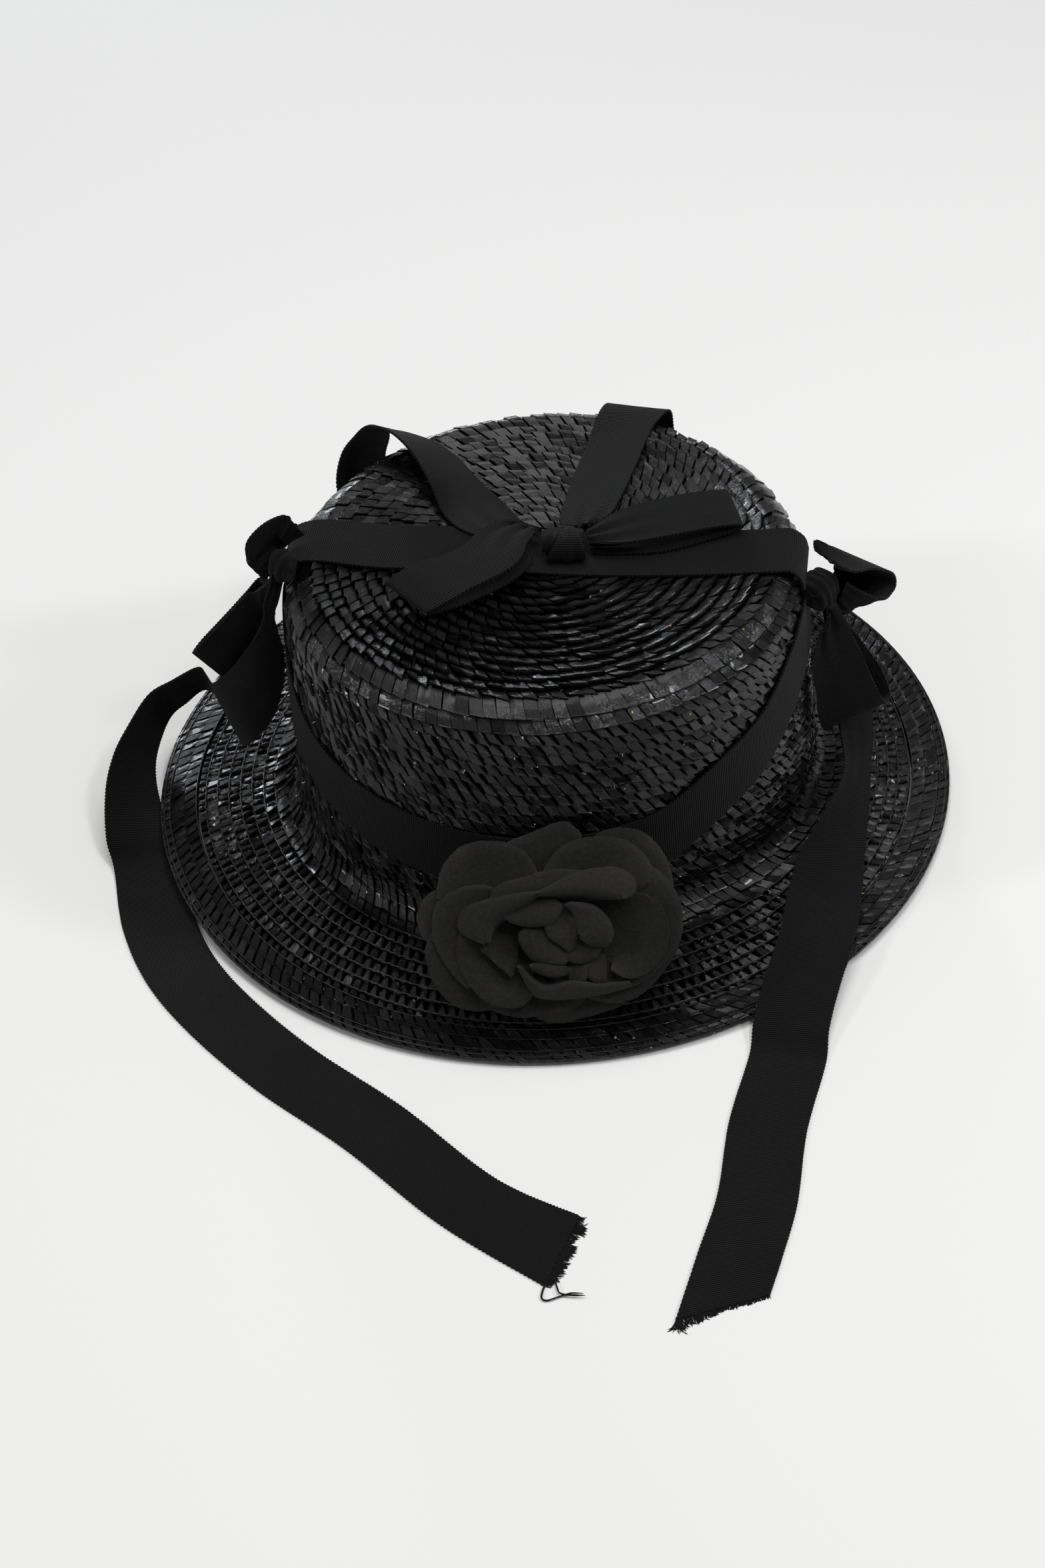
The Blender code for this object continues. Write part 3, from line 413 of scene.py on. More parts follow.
class Nodes:
    """Short hand for adding nodes to one node tree."""

    def __init__(self, tree: Tree) -> None:
        """Keep the tree and empty it."""
        self.tree = tree
        tree.nodes.clear()

    def add(self, kind: str, inputs: dict | None = None, **settings: object) -> bpy.types.Node:
        """Add one node.

        Args:
            kind: The node's type name.
            inputs: Socket name or number to a value or to a socket that feeds it.
            settings: Properties of the node.

        Returns:
            The new node.
        """
        node = self.tree.nodes.new(kind)
        for key, value in settings.items():
            setattr(node, key, value)
        for key, value in (inputs or {}).items():
            self.feed(node.inputs[key], value)
        return node

    def feed(self, socket: Socket, value: Feed) -> None:
        """Link a socket to another one, or set its value.

        Args:
            socket: The socket to feed.
            value: A socket, a number or a tuple.
        """
        if isinstance(value, Socket):
            self.tree.links.new(value, socket)
        else:
            socket.default_value = value

    def math(self, operation: str, *values: Feed) -> Socket:
        """Return the result of one sum of sockets or numbers."""
        return self.add("ShaderNodeMath", dict(enumerate(values)), operation=operation).outputs[0]

    def noise(self, vector: Socket, scale: float, detail: float) -> Socket:
        """Return a noise value read at a vector, at a scale and a detail."""
        inputs = {"Vector": vector, "Scale": scale, "Detail": detail}
        return self.add("ShaderNodeTexNoise", inputs).outputs["Fac"]

    def ramp(self, value: Socket, low: float, high: float, to_low: float = 0.0,
             to_high: float = 1.0) -> Socket:
        """Return a value mapped from one range to another, held at its ends."""
        inputs = {0: value, 1: low, 2: high, 3: to_low, 4: to_high}
        return self.add("ShaderNodeMapRange", inputs).outputs[0]

    def blend(self, share: Feed, first: Feed, second: Feed) -> Socket:
        """Return two colours mixed by a share."""
        inputs = {0: share, 6: first, 7: second}
        return self.add("ShaderNodeMix", inputs, data_type="RGBA").outputs[2]

    def place(self) -> Socket:
        """Return the place in the object."""
        return self.add("ShaderNodeTexCoord").outputs["Object"]

    def stored(self, name: str) -> Socket:
        """Return the value that the mesh stores under a name."""
        return self.add("ShaderNodeAttribute", attribute_name=name).outputs["Fac"]

    def pattern(self, group: Tree, uv_name: str, **values: Feed) -> bpy.types.NodeOutputs:
        """Return the outputs of a group that reads a UV map, with its own values."""
        inputs = {"Place": self.add("ShaderNodeUVMap", uv_map=uv_name).outputs[0], **values}
        return self.add("ShaderNodeGroup", inputs, node_tree=group).outputs

    def relief(self, height: Socket, strength: float, distance: float) -> Socket:
        """Return the normals that a height gives."""
        inputs = {"Strength": strength, "Distance": distance, "Height": height}
        return self.add("ShaderNodeBump", inputs).outputs[0]

    def surface(self, inputs: dict) -> None:
        """Add the material's shader, with these inputs, and its output."""
        shader = self.add("ShaderNodeBsdfPrincipled", inputs)
        self.add("ShaderNodeOutputMaterial", {"Surface": shader.outputs[0]})


def new_group(name: str, inputs: dict, outputs: tuple) -> tuple:
    """Make an empty shader node group.

    Args:
        name: The group's name.
        inputs: Input name to its default value, where None is a vector.
        outputs: Names of the float outputs.

    Returns:
        The group, its node helper, its inputs and the inputs of its output node.
    """
    group = bpy.data.node_groups.new(name, "ShaderNodeTree")
    nodes = Nodes(group)
    for label, value in inputs.items():
        kind = "NodeSocketVector" if value is None else "NodeSocketFloat"
        socket = group.interface.new_socket(name=label, in_out="INPUT", socket_type=kind)
        if value is not None:
            socket.default_value = value
    for label in outputs:
        group.interface.new_socket(name=label, in_out="OUTPUT", socket_type="NodeSocketFloat")
    return group, nodes, nodes.add("NodeGroupInput").outputs, nodes.add("NodeGroupOutput").inputs


def wear_group() -> Tree:
    """Make the group for uneven tone: cloudy and fine noise over the piece.

    Returns:
        The group.
    """
    group, nodes, entry, leave = new_group("uneven_tone", {"Scale": 1.0}, ("Cloud", "Grain"))
    inputs = {0: nodes.place(), "Scale": entry["Scale"]}
    scaled = nodes.add("ShaderNodeVectorMath", inputs, operation="SCALE").outputs[0]
    for label, scale, detail in (("Cloud", 38.0, 3.0), ("Grain", 900.0, 2.0)):
        nodes.feed(leave[label], nodes.noise(scaled, scale, detail))
    return group


def weave_group() -> Tree:
    """Make the group for raised threads: slanted ribs crossed by fine threads.

    Returns:
        The group.
    """
    inputs = {"Place": None, "Rib Pitch": RIB_PITCH, "Thread Pitch": 0.0003, "Slant": 0.0}
    group, nodes, entry, leave = new_group("raised_threads", inputs, ("Ribs", "Threads"))
    parts = nodes.add("ShaderNodeSeparateXYZ", {0: entry["Place"]}).outputs
    along = nodes.math("ADD", parts["X"], nodes.math("MULTIPLY", parts["Y"], entry["Slant"]))
    waves = (("Ribs", along, "Rib Pitch"), ("Threads", parts["Y"], "Thread Pitch"))
    for label, place, pitch in waves:
        turns = nodes.math("DIVIDE", place, entry[pitch])
        wave = nodes.math("SINE", nodes.math("MULTIPLY", turns, 2.0 * math.pi))
        nodes.feed(leave[label], nodes.math("MULTIPLY_ADD", wave, 0.5, 0.5))
    return group


def rows_group() -> Tree:
    """Make the group for straw rows: dark joints between cells and splint grain.

    Returns:
        The group.
    """
    inputs = {"Place": None, "Joint": 0.05}
    group, nodes, entry, leave = new_group("straw_rows", inputs, ("Joints", "Splints"))
    parts = nodes.add("ShaderNodeSeparateXYZ", {0: entry["Place"]}).outputs
    edge = nodes.math("SUBTRACT", 0.5, entry["Joint"])
    joints = []
    for axis in ("X", "Y"):
        away = nodes.math("SUBTRACT", nodes.math("FRACT", parts[axis]), 0.5)
        joints.append(nodes.math("GREATER_THAN", nodes.math("ABSOLUTE", away), edge))
    nodes.feed(leave["Joints"], nodes.math("MAXIMUM", *joints))
    inputs = {0: entry["Place"], "Scale": (0.16, 2.2, 1.0)}
    stretched = nodes.add("ShaderNodeMapping", inputs, vector_type="TEXTURE").outputs[0]
    nodes.feed(leave["Splints"], nodes.noise(stretched, 3.0, 3.0))
    return group


def new_material(name: str) -> tuple:
    """Make an empty material.

    Args:
        name: The material's name.

    Returns:
        The material and its node helper.
    """
    material = bpy.data.materials.new(name)
    material.use_nodes = True
    return material, Nodes(material.node_tree)


@dataclass(frozen=True)
class StrawFinish:
    """Glossy black lacquered straw. Scales are in turns of noise a metre."""

    slot: Slot = Slot.STRAW
    # Near-black colour painted into the slits and under the lips as shade.
    painted_shade_colour: tuple = (0.0010, 0.0010, 0.0010, 1.0)
    flat: tuple = (0.0036, 0.0036, 0.0039, 1.0)
    # Paler flats: random tone, and a painted highlight on the lips, cords and the shoulder row.
    pale: tuple = (0.0115, 0.0115, 0.0122, 1.0)
    fleck: tuple = (0.42, 0.27, 0.07, 1.0)
    fleck_scale: float = 640.0
    crinkle_scale: float = 430.0
    roughness: float = 0.13
    gloss: float = 0.38
    coat: float = 0.20
    coat_roughness: float = 0.08
    relief: float = 0.00020

    def build(self, wear: Tree, rows: Tree) -> Material:
        """Make the material: dark joints, painted shade in the slits and under the lips, and flats
        of uneven shine, paler on the lips, cords and shoulder row as a painted highlight.

        Args:
            wear: The group for uneven tone.
            rows: The group for straw rows.

        Returns:
            The material.
        """
        material, nodes = new_material(self.slot.value)
        rows = nodes.pattern(rows, "rows")
        cloud = nodes.add("ShaderNodeGroup", node_tree=wear).outputs["Cloud"]
        painted_shade, tone = nodes.stored("painted_shade"), nodes.stored("tone")
        # Paler where tone is high: random tone, plus a painted highlight on the lips, cords and the
        # shoulder row.
        flat = nodes.blend(nodes.ramp(tone, 0.2, 1.0), self.flat, self.pale)
        speck = nodes.noise(nodes.place(), self.fleck_scale, 0.0)
        flat = nodes.blend(nodes.ramp(speck, 0.875, 0.885), flat, self.fleck)
        rough = nodes.math("ADD", nodes.ramp(tone, 0.0, 1.3, 0.15, -0.06), self.roughness)
        dull = nodes.ramp(tone, 0.10, 0.45, 0.60, 0.0)
        crinkle = nodes.noise(nodes.place(), self.crinkle_scale, 2.5)
        height = nodes.math("MULTIPLY_ADD", rows["Joints"], -0.5, rows["Splints"])
        height = nodes.math("MULTIPLY_ADD", crinkle, nodes.ramp(tone, 0.9, 1.1, 1.2, 1.9), height)
        nodes.surface({
            # Painted shade: the colour goes near black in the slits and under the lips, and
            # Metallic dims their reflection too.
            "Base Color": nodes.blend(nodes.ramp(painted_shade, 0.15, 0.8), flat, self.painted_shade_colour),
            "Metallic": nodes.math("MAXIMUM", nodes.ramp(painted_shade, 0.15, 0.75), dull),
            "Roughness": nodes.math("ADD", rough, nodes.ramp(cloud, 0.3, 0.7, -0.05, 0.08)),
            "Specular IOR Level": self.gloss,
            "Coat Weight": self.coat,
            "Coat Roughness": self.coat_roughness,
            "Normal": nodes.relief(height, 0.85, self.relief),
        })
        return material


@dataclass(frozen=True)
class ClothFinish:
    """Matte woven cloth: ribbed ribbon or the flower's twill."""

    slot: Slot
    dark: tuple
    light: tuple
    rib_pitch: float
    thread_pitch: float
    slant: float
    relief: float
    sheen: float
    crossing: float = 0.0
    roughness: float = 0.85

    def build(self, wear: Tree, weave: Tree) -> Material:
        """Make the material: threads in relief and a slightly uneven tone.

        Args:
            wear: The group for uneven tone.
            weave: The group for raised threads.

        Returns:
            The material.
        """
        material, nodes = new_material(self.slot.value)
        pitches = {"Rib Pitch": self.rib_pitch, "Thread Pitch": self.thread_pitch}
        weave = nodes.pattern(weave, "cloth", **pitches, Slant=self.slant)
        wear = nodes.add("ShaderNodeGroup", node_tree=wear).outputs
        threads = nodes.math("MULTIPLY_ADD", weave["Threads"], self.crossing, 1.0 - self.crossing)
        threads = nodes.math("MULTIPLY", weave["Ribs"], threads)
        worn = nodes.ramp(wear["Cloud"], 0.3, 0.7, -0.18, 0.18)
        share = nodes.math("ADD", nodes.math("MULTIPLY", threads, 0.75), worn)
        share = nodes.math("ADD", share, nodes.ramp(wear["Grain"], 0.3, 0.7, -0.12, 0.12))
        height = nodes.math("MULTIPLY_ADD", weave["Threads"], 0.05 + 0.5 * self.crossing, threads)
        nodes.surface({
            "Base Color": nodes.blend(nodes.ramp(share, 0.0, 1.0), self.dark, self.light),
            "Roughness": self.roughness,
            "Sheen Weight": self.sheen,
            "Sheen Roughness": 0.5,
            "Specular IOR Level": 0.10,
            "Normal": nodes.relief(height, 1.0, self.relief),
        })
        return material


@dataclass(frozen=True)
class FloorFinish:
    """Plain pale paper."""

    colour: tuple = (0.875, 0.87, 0.865, 1.0)

    def build(self) -> Material:
        """Make the material.

        Returns:
            The material.
        """
        material, nodes = new_material("pale_floor")
        nodes.surface({"Base Color": self.colour, "Roughness": 0.9, "Specular IOR Level": 0.1})
        return material


def unit(vectors: Array, least: float = 1e-9) -> Array:
    """Return vectors at length one, except where they are shorter than the least length."""
    return vectors / np.maximum(np.linalg.norm(vectors, axis=-1, keepdims=True), least)


def wound(steps: Array) -> Array:
    """Return the length at each end of a row of steps, from nothing to their sum."""
    return np.concatenate([[0.0], np.cumsum(steps)])


def grid_faces(rows: int, columns: int, closed_rows: bool = False) -> Array:
    """Return the quads of a grid of vertices stored row by row.

    Args:
        rows: Number of rows.
        columns: Vertices in a row.
        closed_rows: Whether the last row joins the first.

    Returns:
        An array of four vertex numbers a quad.
    """
    row = np.arange(rows if closed_rows else rows - 1)[:, None]
    column = np.arange(columns - 1)[None, :]
    low = row * columns
    high = (row + 1) % rows * columns
    quads = np.stack([low + column, high + column, high + column + 1, low + column + 1], -1)
    return quads.reshape(-1, 4)


def surface_normals(points: Array, closed_rows: bool = False) -> Array:
    """Return unit normals of a grid: its step along the rows crossed with its step across.

    Args:
        points: Grid of points, rows by columns by three.
        closed_rows: Whether the last row joins the first.

    Returns:
        Grid of unit normals.
    """
    if closed_rows:
        along = np.roll(points, -1, 0) - np.roll(points, 1, 0)
    else:
        along = np.gradient(points, axis=0)
    return unit(np.cross(along, np.gradient(points, axis=1)), 1e-12)


@dataclass
class Shape:
    """Points, faces and the values that go with each point."""

    points: Array
    faces: Array
    uv: Array
    values: dict = field(default_factory=dict)


def joined(*shapes: Shape) -> Shape:
    """Join shapes that store the same values.

    Args:
        shapes: The shapes, in order.

    Returns:
        The one shape.
    """
    starts = np.cumsum([0] + [len(shape.points) for shape in shapes])
    return Shape(
        np.concatenate([shape.points for shape in shapes]),
        np.concatenate([shape.faces + start for shape, start in zip(shapes, starts)]),
        np.concatenate([shape.uv for shape in shapes]),
        {name: np.concatenate([shape.values[name] for shape in shapes])
         for name in shapes[0].values},
    )


def straw_shape(points: Array, faces: Array, uv: tuple, painted_shade: Array | float,
                tone: Array | float) -> Shape:
    """Make a shape that stores how much painted shade and how much gloss each point has.

    Args:
        points: Grid of points.
        faces: Its quads.
        uv: The two pattern places, as grids.
        painted_shade: Painted shade, 0 on a flat to 1 in a slit or under a lip.
        tone: The flats' gloss and paleness, with a painted highlight on the lips and cords.

    Returns:
        The shape.
    """
    full = points.shape[:-1]
    across, along, painted_shade, tone = [np.broadcast_to(value, full).ravel()
                                   for value in (*uv, painted_shade, tone)]
    places = np.stack([across, along], -1)
    return Shape(points.reshape(-1, 3), faces, places, {"painted_shade": painted_shade, "tone": tone})


def closed_sheet(grid: Array, uv: Array, thickness: float,
                 closed_rows: bool = False) -> Shape:
    """Make a sheet with two sides and an edge.

    Each side lies half the thickness from the grid, along its normals, and strips of
    quads join the two sides round the border.

    Args:
        grid: Rows by columns by three points of the middle surface.
        uv: Rows by columns by two places on the cloth, in metres.
        thickness: The cloth's thickness.
        closed_rows: Whether the last row joins the first.

    Returns:
        The closed shape.
    """
    rows, columns = grid.shape[:2]
    count = rows * columns
    away = surface_normals(grid, closed_rows) * (0.5 * thickness)
    points = np.concatenate([(grid + away).reshape(-1, 3), (grid - away).reshape(-1, 3)])
    front = grid_faces(rows, columns, closed_rows)
    numbers = np.arange(count).reshape(rows, columns)
    borders = [numbers[:, 0], numbers[::-1, -1]]
    if closed_rows:
        borders = [np.append(line, line[0]) for line in borders]
    else:
        borders += [numbers[-1, :], numbers[0, ::-1]]
    strips = [np.stack([line[:-1], line[:-1] + count, line[1:] + count, line[1:]], -1)
              for line in borders]
    flat = uv.reshape(-1, 2)
    faces = np.concatenate([front, front[:, ::-1] + count, *strips])
    return Shape(points, faces, np.concatenate([flat, flat]))


def add_piece(name: str, shape: Shape, material: Material, uv_name: str = "cloth",
              crease: float | None = None) -> Piece:
    """Add one mesh object at the origin.

    Args:
        name: The piece's name.
        shape: Its points, faces, places on the cloth and values.
        material: Its finish.
        uv_name: The name of its UV map.
        crease: Edges bent more than this many degrees stay sharp.

    Returns:
        The new object.
    """
    mesh = bpy.data.meshes.new(name)
    corners = shape.faces.ravel().astype(np.int32)
    mesh.vertices.add(len(shape.points))
    mesh.vertices.foreach_set("co", shape.points.astype(np.float32).ravel())
    mesh.loops.add(len(corners))
    mesh.loops.foreach_set("vertex_index", corners)
    mesh.polygons.add(len(shape.faces))
    starts = np.arange(0, len(corners), shape.faces.shape[1], dtype=np.int32)
    mesh.polygons.foreach_set("loop_start", starts)
    mesh.update(calc_edges=True)
    layer = mesh.uv_layers.new(name=uv_name)
    layer.data.foreach_set("uv", shape.uv[corners].astype(np.float32).ravel())
    for label, value in shape.values.items():
        attribute = mesh.attributes.new(label, "FLOAT", "POINT")
        attribute.data.foreach_set("value", value.astype(np.float32).ravel())
    mesh.materials.append(material)
    mesh.shade_smooth()
    if crease is not None:
        mesh.set_sharp_from_angle(angle=math.radians(crease))
    piece = bpy.data.objects.new(name, mesh)
    bpy.context.scene.collection.objects.link(piece)
    return piece


def dress(piece: Piece, slot: Slot, *nodes: str) -> Piece:
    """Make a piece ride on the hat and stand for its nodes.

    Args:
        piece: The new piece.
        slot: The record's material slot; not used.
        nodes: The nodes that it stands for, of which the frame may lack some.

    Returns:
        The piece.
    """
    piece.data.transform(Matrix.Translation(ORIGIN))
    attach(piece, BODY)
    nodes = [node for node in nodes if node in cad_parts]
    if nodes:
        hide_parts(*nodes)
    triangles = sum(len(face.vertices) - 2 for face in piece.data.polygons)
    LOG.info("%s: %d triangles", piece.name, triangles)
    return piece


def oval_radius(half_width: float, half_depth: float, turn: Array) -> Array:
    """Return an oval's radius at each turn, given in degrees."""
    angle = np.radians(turn)
    return 1.0 / np.hypot(np.cos(angle) / half_width, np.sin(angle) / half_depth)


def hat_places(turn: Array, reach: Array, up: Array) -> Array:
    """Return points of the hat.

    Inside the wall the radius is a share of the wall's oval, and outside it runs
    evenly from the wall to the brim edge, while the crown's shift fades away.

    Args:
        turn: Turns round the hat, in degrees.
        reach: Reaches, as a station gives them.
        up: Shares of the crown height.

    Returns:
        One point for each.
    """
    wall = oval_radius(CROWN_HALF_WIDTH, CROWN_HALF_DEPTH, turn)
    edge = oval_radius(BRIM_HALF_WIDTH, BRIM_HALF_DEPTH, turn)
    radius = np.where(reach > 1.0, wall + (reach - 1.0) * (edge - wall), wall * reach)
    shift = np.clip(2.0 - reach, 0.0, 1.0)
    angle = np.radians(turn)
    return np.stack([
        shift * CROWN_SHIFT_X + radius * np.cos(angle),
        shift * CROWN_SHIFT_Y + radius * np.sin(angle),
        np.maximum(up * CROWN_HEIGHT, RIBBON_THICKNESS / 2),
    ], -1)


def place_of(turn: float, reach: float, up: float) -> Array:
    """Return one point from its turn, reach and share of the crown height."""
    return hat_places(np.array([turn]), np.array([reach]), np.array([up]))[0]


def through(values: Array, at: Array, closed: bool = False) -> Array:
    """Return the smooth curve through rows of values, read at places between them.

    A cubic joins each pair of rows, with the slopes of the rows on either side.

    Args:
        values: Rows of values.
        at: Places, where a whole number is a row.
        closed: Whether the curve joins its own start.

    Returns:
        One row for each place.
    """
    count = len(values)
    start = np.floor(at).astype(int)
    if not closed:
        start = np.clip(start, 0, count - 2)
    share = (at - start).reshape((-1,) + (1,) * (values.ndim - 1))
    numbers = [start + step for step in (-1, 0, 1, 2)]
    if closed:
        before, here, after, later = [values[number % count] for number in numbers]
    else:
        before, here, after, later = [values[np.clip(number, 0, count - 1)] for number in numbers]
    bend = 2 * before - 5 * here + 4 * after - later
    twist = 3 * here - 3 * after + later - before
    return here + 0.5 * share * ((after - before) + share * (bend + share * twist))


def even_places(points: Array, samples: int, count: int | None = None) -> tuple:
    """Return places at even steps of length along the smooth curve through points.

    Args:
        points: Rows of points.
        samples: Steps that the curve is measured in.
        count: Number of places, or None for one every ribbon sample.

    Returns:
        The places and their lengths along the curve.
    """
    dense = np.linspace(0.0, len(points) - 1.0, samples)
    run = wound(np.linalg.norm(np.diff(through(points, dense), axis=0), axis=1))
    count = count or max(8, int(run[-1] / RIBBON_SAMPLE))
    lengths = np.linspace(0.0, run[-1], count)
    return np.interp(lengths, run, dense), lengths


def evenly_through(points: Array, count: int) -> Array:
    """Return evenly spaced points of the smooth curve through a few points."""
    return through(points, even_places(points, CURVE_SAMPLES, count)[0])


def rim_lift(theta: Array) -> Array:
    """Return how far the brim edge rises, over the ribbon that runs under it.

    Args:
        theta: Angles round the hat, in radians.

    Returns:
        The rises, which fade out on both sides as half a cosine wave.
    """
    away = np.abs(np.degrees(theta) % 360.0 - RIM_LIFT_TURN)
    share = np.minimum(away / RIM_LIFT_SPAN, 1.0)
    return RIM_LIFT * 0.5 * (1.0 + np.cos(np.pi * share))


@dataclass
class Profile:
    """A line from the inside outwards, swept round an oval.

    size gives the half width and the half depth at each point of the line, height its
    height, shift its share of the crown's shift and lift its share of the rim's lift.
    """

    size: Array
    height: Array
    shift: Array
    lift: Array

    def __post_init__(self) -> None:
        """Measure the line."""
        mean = 0.5 * (self.size[0] + self.size[1])
        self.distance = wound(np.hypot(np.diff(mean), np.diff(self.height)))
        self.out = np.gradient(mean, self.distance)
        self.rise = np.gradient(self.height, self.distance)

    @property
    def length(self) -> float:
        """Length of the line."""
        return float(self.distance[-1])

    def read(self, distance: Array, *lines: Array) -> list:
        """Return values of the line at distances along it."""
        return [np.interp(distance, self.distance, values) for values in lines]

    def girth(self, distance: Array) -> Array:
        """Return the length once round at each distance."""
        width, depth = self.read(distance, *self.size)
        return 2.0 * np.pi * np.sqrt(0.5 * (width * width + depth * depth))

    def at(self, distance: Array, theta: Array, raised: Array) -> Array:
        """Return points on the swept line, raised along its normal.

        Args:
            distance: Distances along the line.
            theta: Angles round the oval, in radians.
            raised: Heights above the surface.

        Returns:
            The points.
        """
        lines = (*self.size, self.height, self.shift, self.lift, self.out, self.rise)
        read = self.read(np.clip(distance, 0.0, self.length), *lines)
        width, depth, height, shift, lift, out, rise = read
        cosine, sine = np.cos(theta), np.sin(theta)
        side_x = cosine / np.maximum(width, 1e-4)
        side_y = sine / np.maximum(depth, 1e-4)
        level = -rise * raised / np.hypot(side_x, side_y)
        slope = np.hypot(out, rise)
        return np.stack([
            shift * CROWN_SHIFT_X + width * cosine + side_x * level / slope,
            shift * CROWN_SHIFT_Y + depth * sine + side_y * level / slope,
            height + lift * rim_lift(theta) + out / slope * raised,
        ], -1)


class Braid(NamedTuple):
    """How braid looks on one stretch of rows. Lengths are in metres.

    pitch is the visible breadth of a row, step the rise from its inner to its outer
    edge, seat the height of its middle, lip the height of the folded edge, slit the
    depth between flats, gap the open share of a cell, slant the cells' lean in cells,
    over how far each flat climbs over the next, tilt how unevenly the flats lie, wave
    how far the outer edge swings, as a share of the row, and shine how glossy they are
    and how pale, which paints a highlight where it is high, as on the shoulder row.
    """

    pitch: float
    step: float
    seat: float
    lip: float
    slit: float
    gap: float
    slant: float
    over: float
    tilt: float
    wave: float
    shine: float


TIP_ROWS = Braid(0.0045, 0.00135, -0.00028, 0.00012, 0.00045, 0.16,
                 0.62, 0.00028, 0.00022, 0.18, 1.2)
# The shoulder row's high shine paints its flats paler, as a highlight, besides making them
# glossier.
SHOULDER_ROW = Braid(0.007, 0.0004, 0.0, 0.00008, 0.00022, 0.05, 0.3, 0.0001, 0.00026, 0.03, 2.0)
WALL_ROWS = Braid(0.004, 0.00036, -0.00012, 0.00012, 0.00055, 0.32,
                  0.66, 0.00034, 0.0003, 0.16, 0.6)
FILLET_ROW = Braid(0.0044, 0.00036, 0.0, 0.0001, 0.0005, 0.2, 0.62, 0.00028, 0.0003, 0.12, 0.9)
BRIM_ROWS = Braid(0.0042, 0.00004, -0.0007, 0.00005, 0.0008, 0.64,
                  0.34, 0.00022, 0.00024, 0.02, 0.8)
RIM_ROWS = Braid(0.0046, 0.0001, 0.0, 0.0001, 0.00045, 0.28, 0.8, 0.00016, 0.0001, 0.03, 0.45)
UNDER_ROWS = Braid(0.0046, 0.0001, 0.0, 0.0001, 0.0003, 0.1, 0.5, 0.00012, 0.00008, 0.03, 0.6)

# Where along each profile, as a share of its length, the braid has these looks
CROWN_STRETCHES = ((0.0, TIP_ROWS), (0.475, TIP_ROWS), (0.49, SHOULDER_ROW), (0.53, SHOULDER_ROW),
                   (0.55, WALL_ROWS), (1.0, WALL_ROWS))
BRIM_STRETCHES = ((0.0, WALL_ROWS), (0.10, FILLET_ROW), (FILLET_END, FILLET_ROW),
                  (0.36, BRIM_ROWS), (1.0, BRIM_ROWS))
RIM_STRETCHES = ((0.0, RIM_ROWS), (0.45, RIM_ROWS), (0.5, UNDER_ROWS), (1.0, UNDER_ROWS))


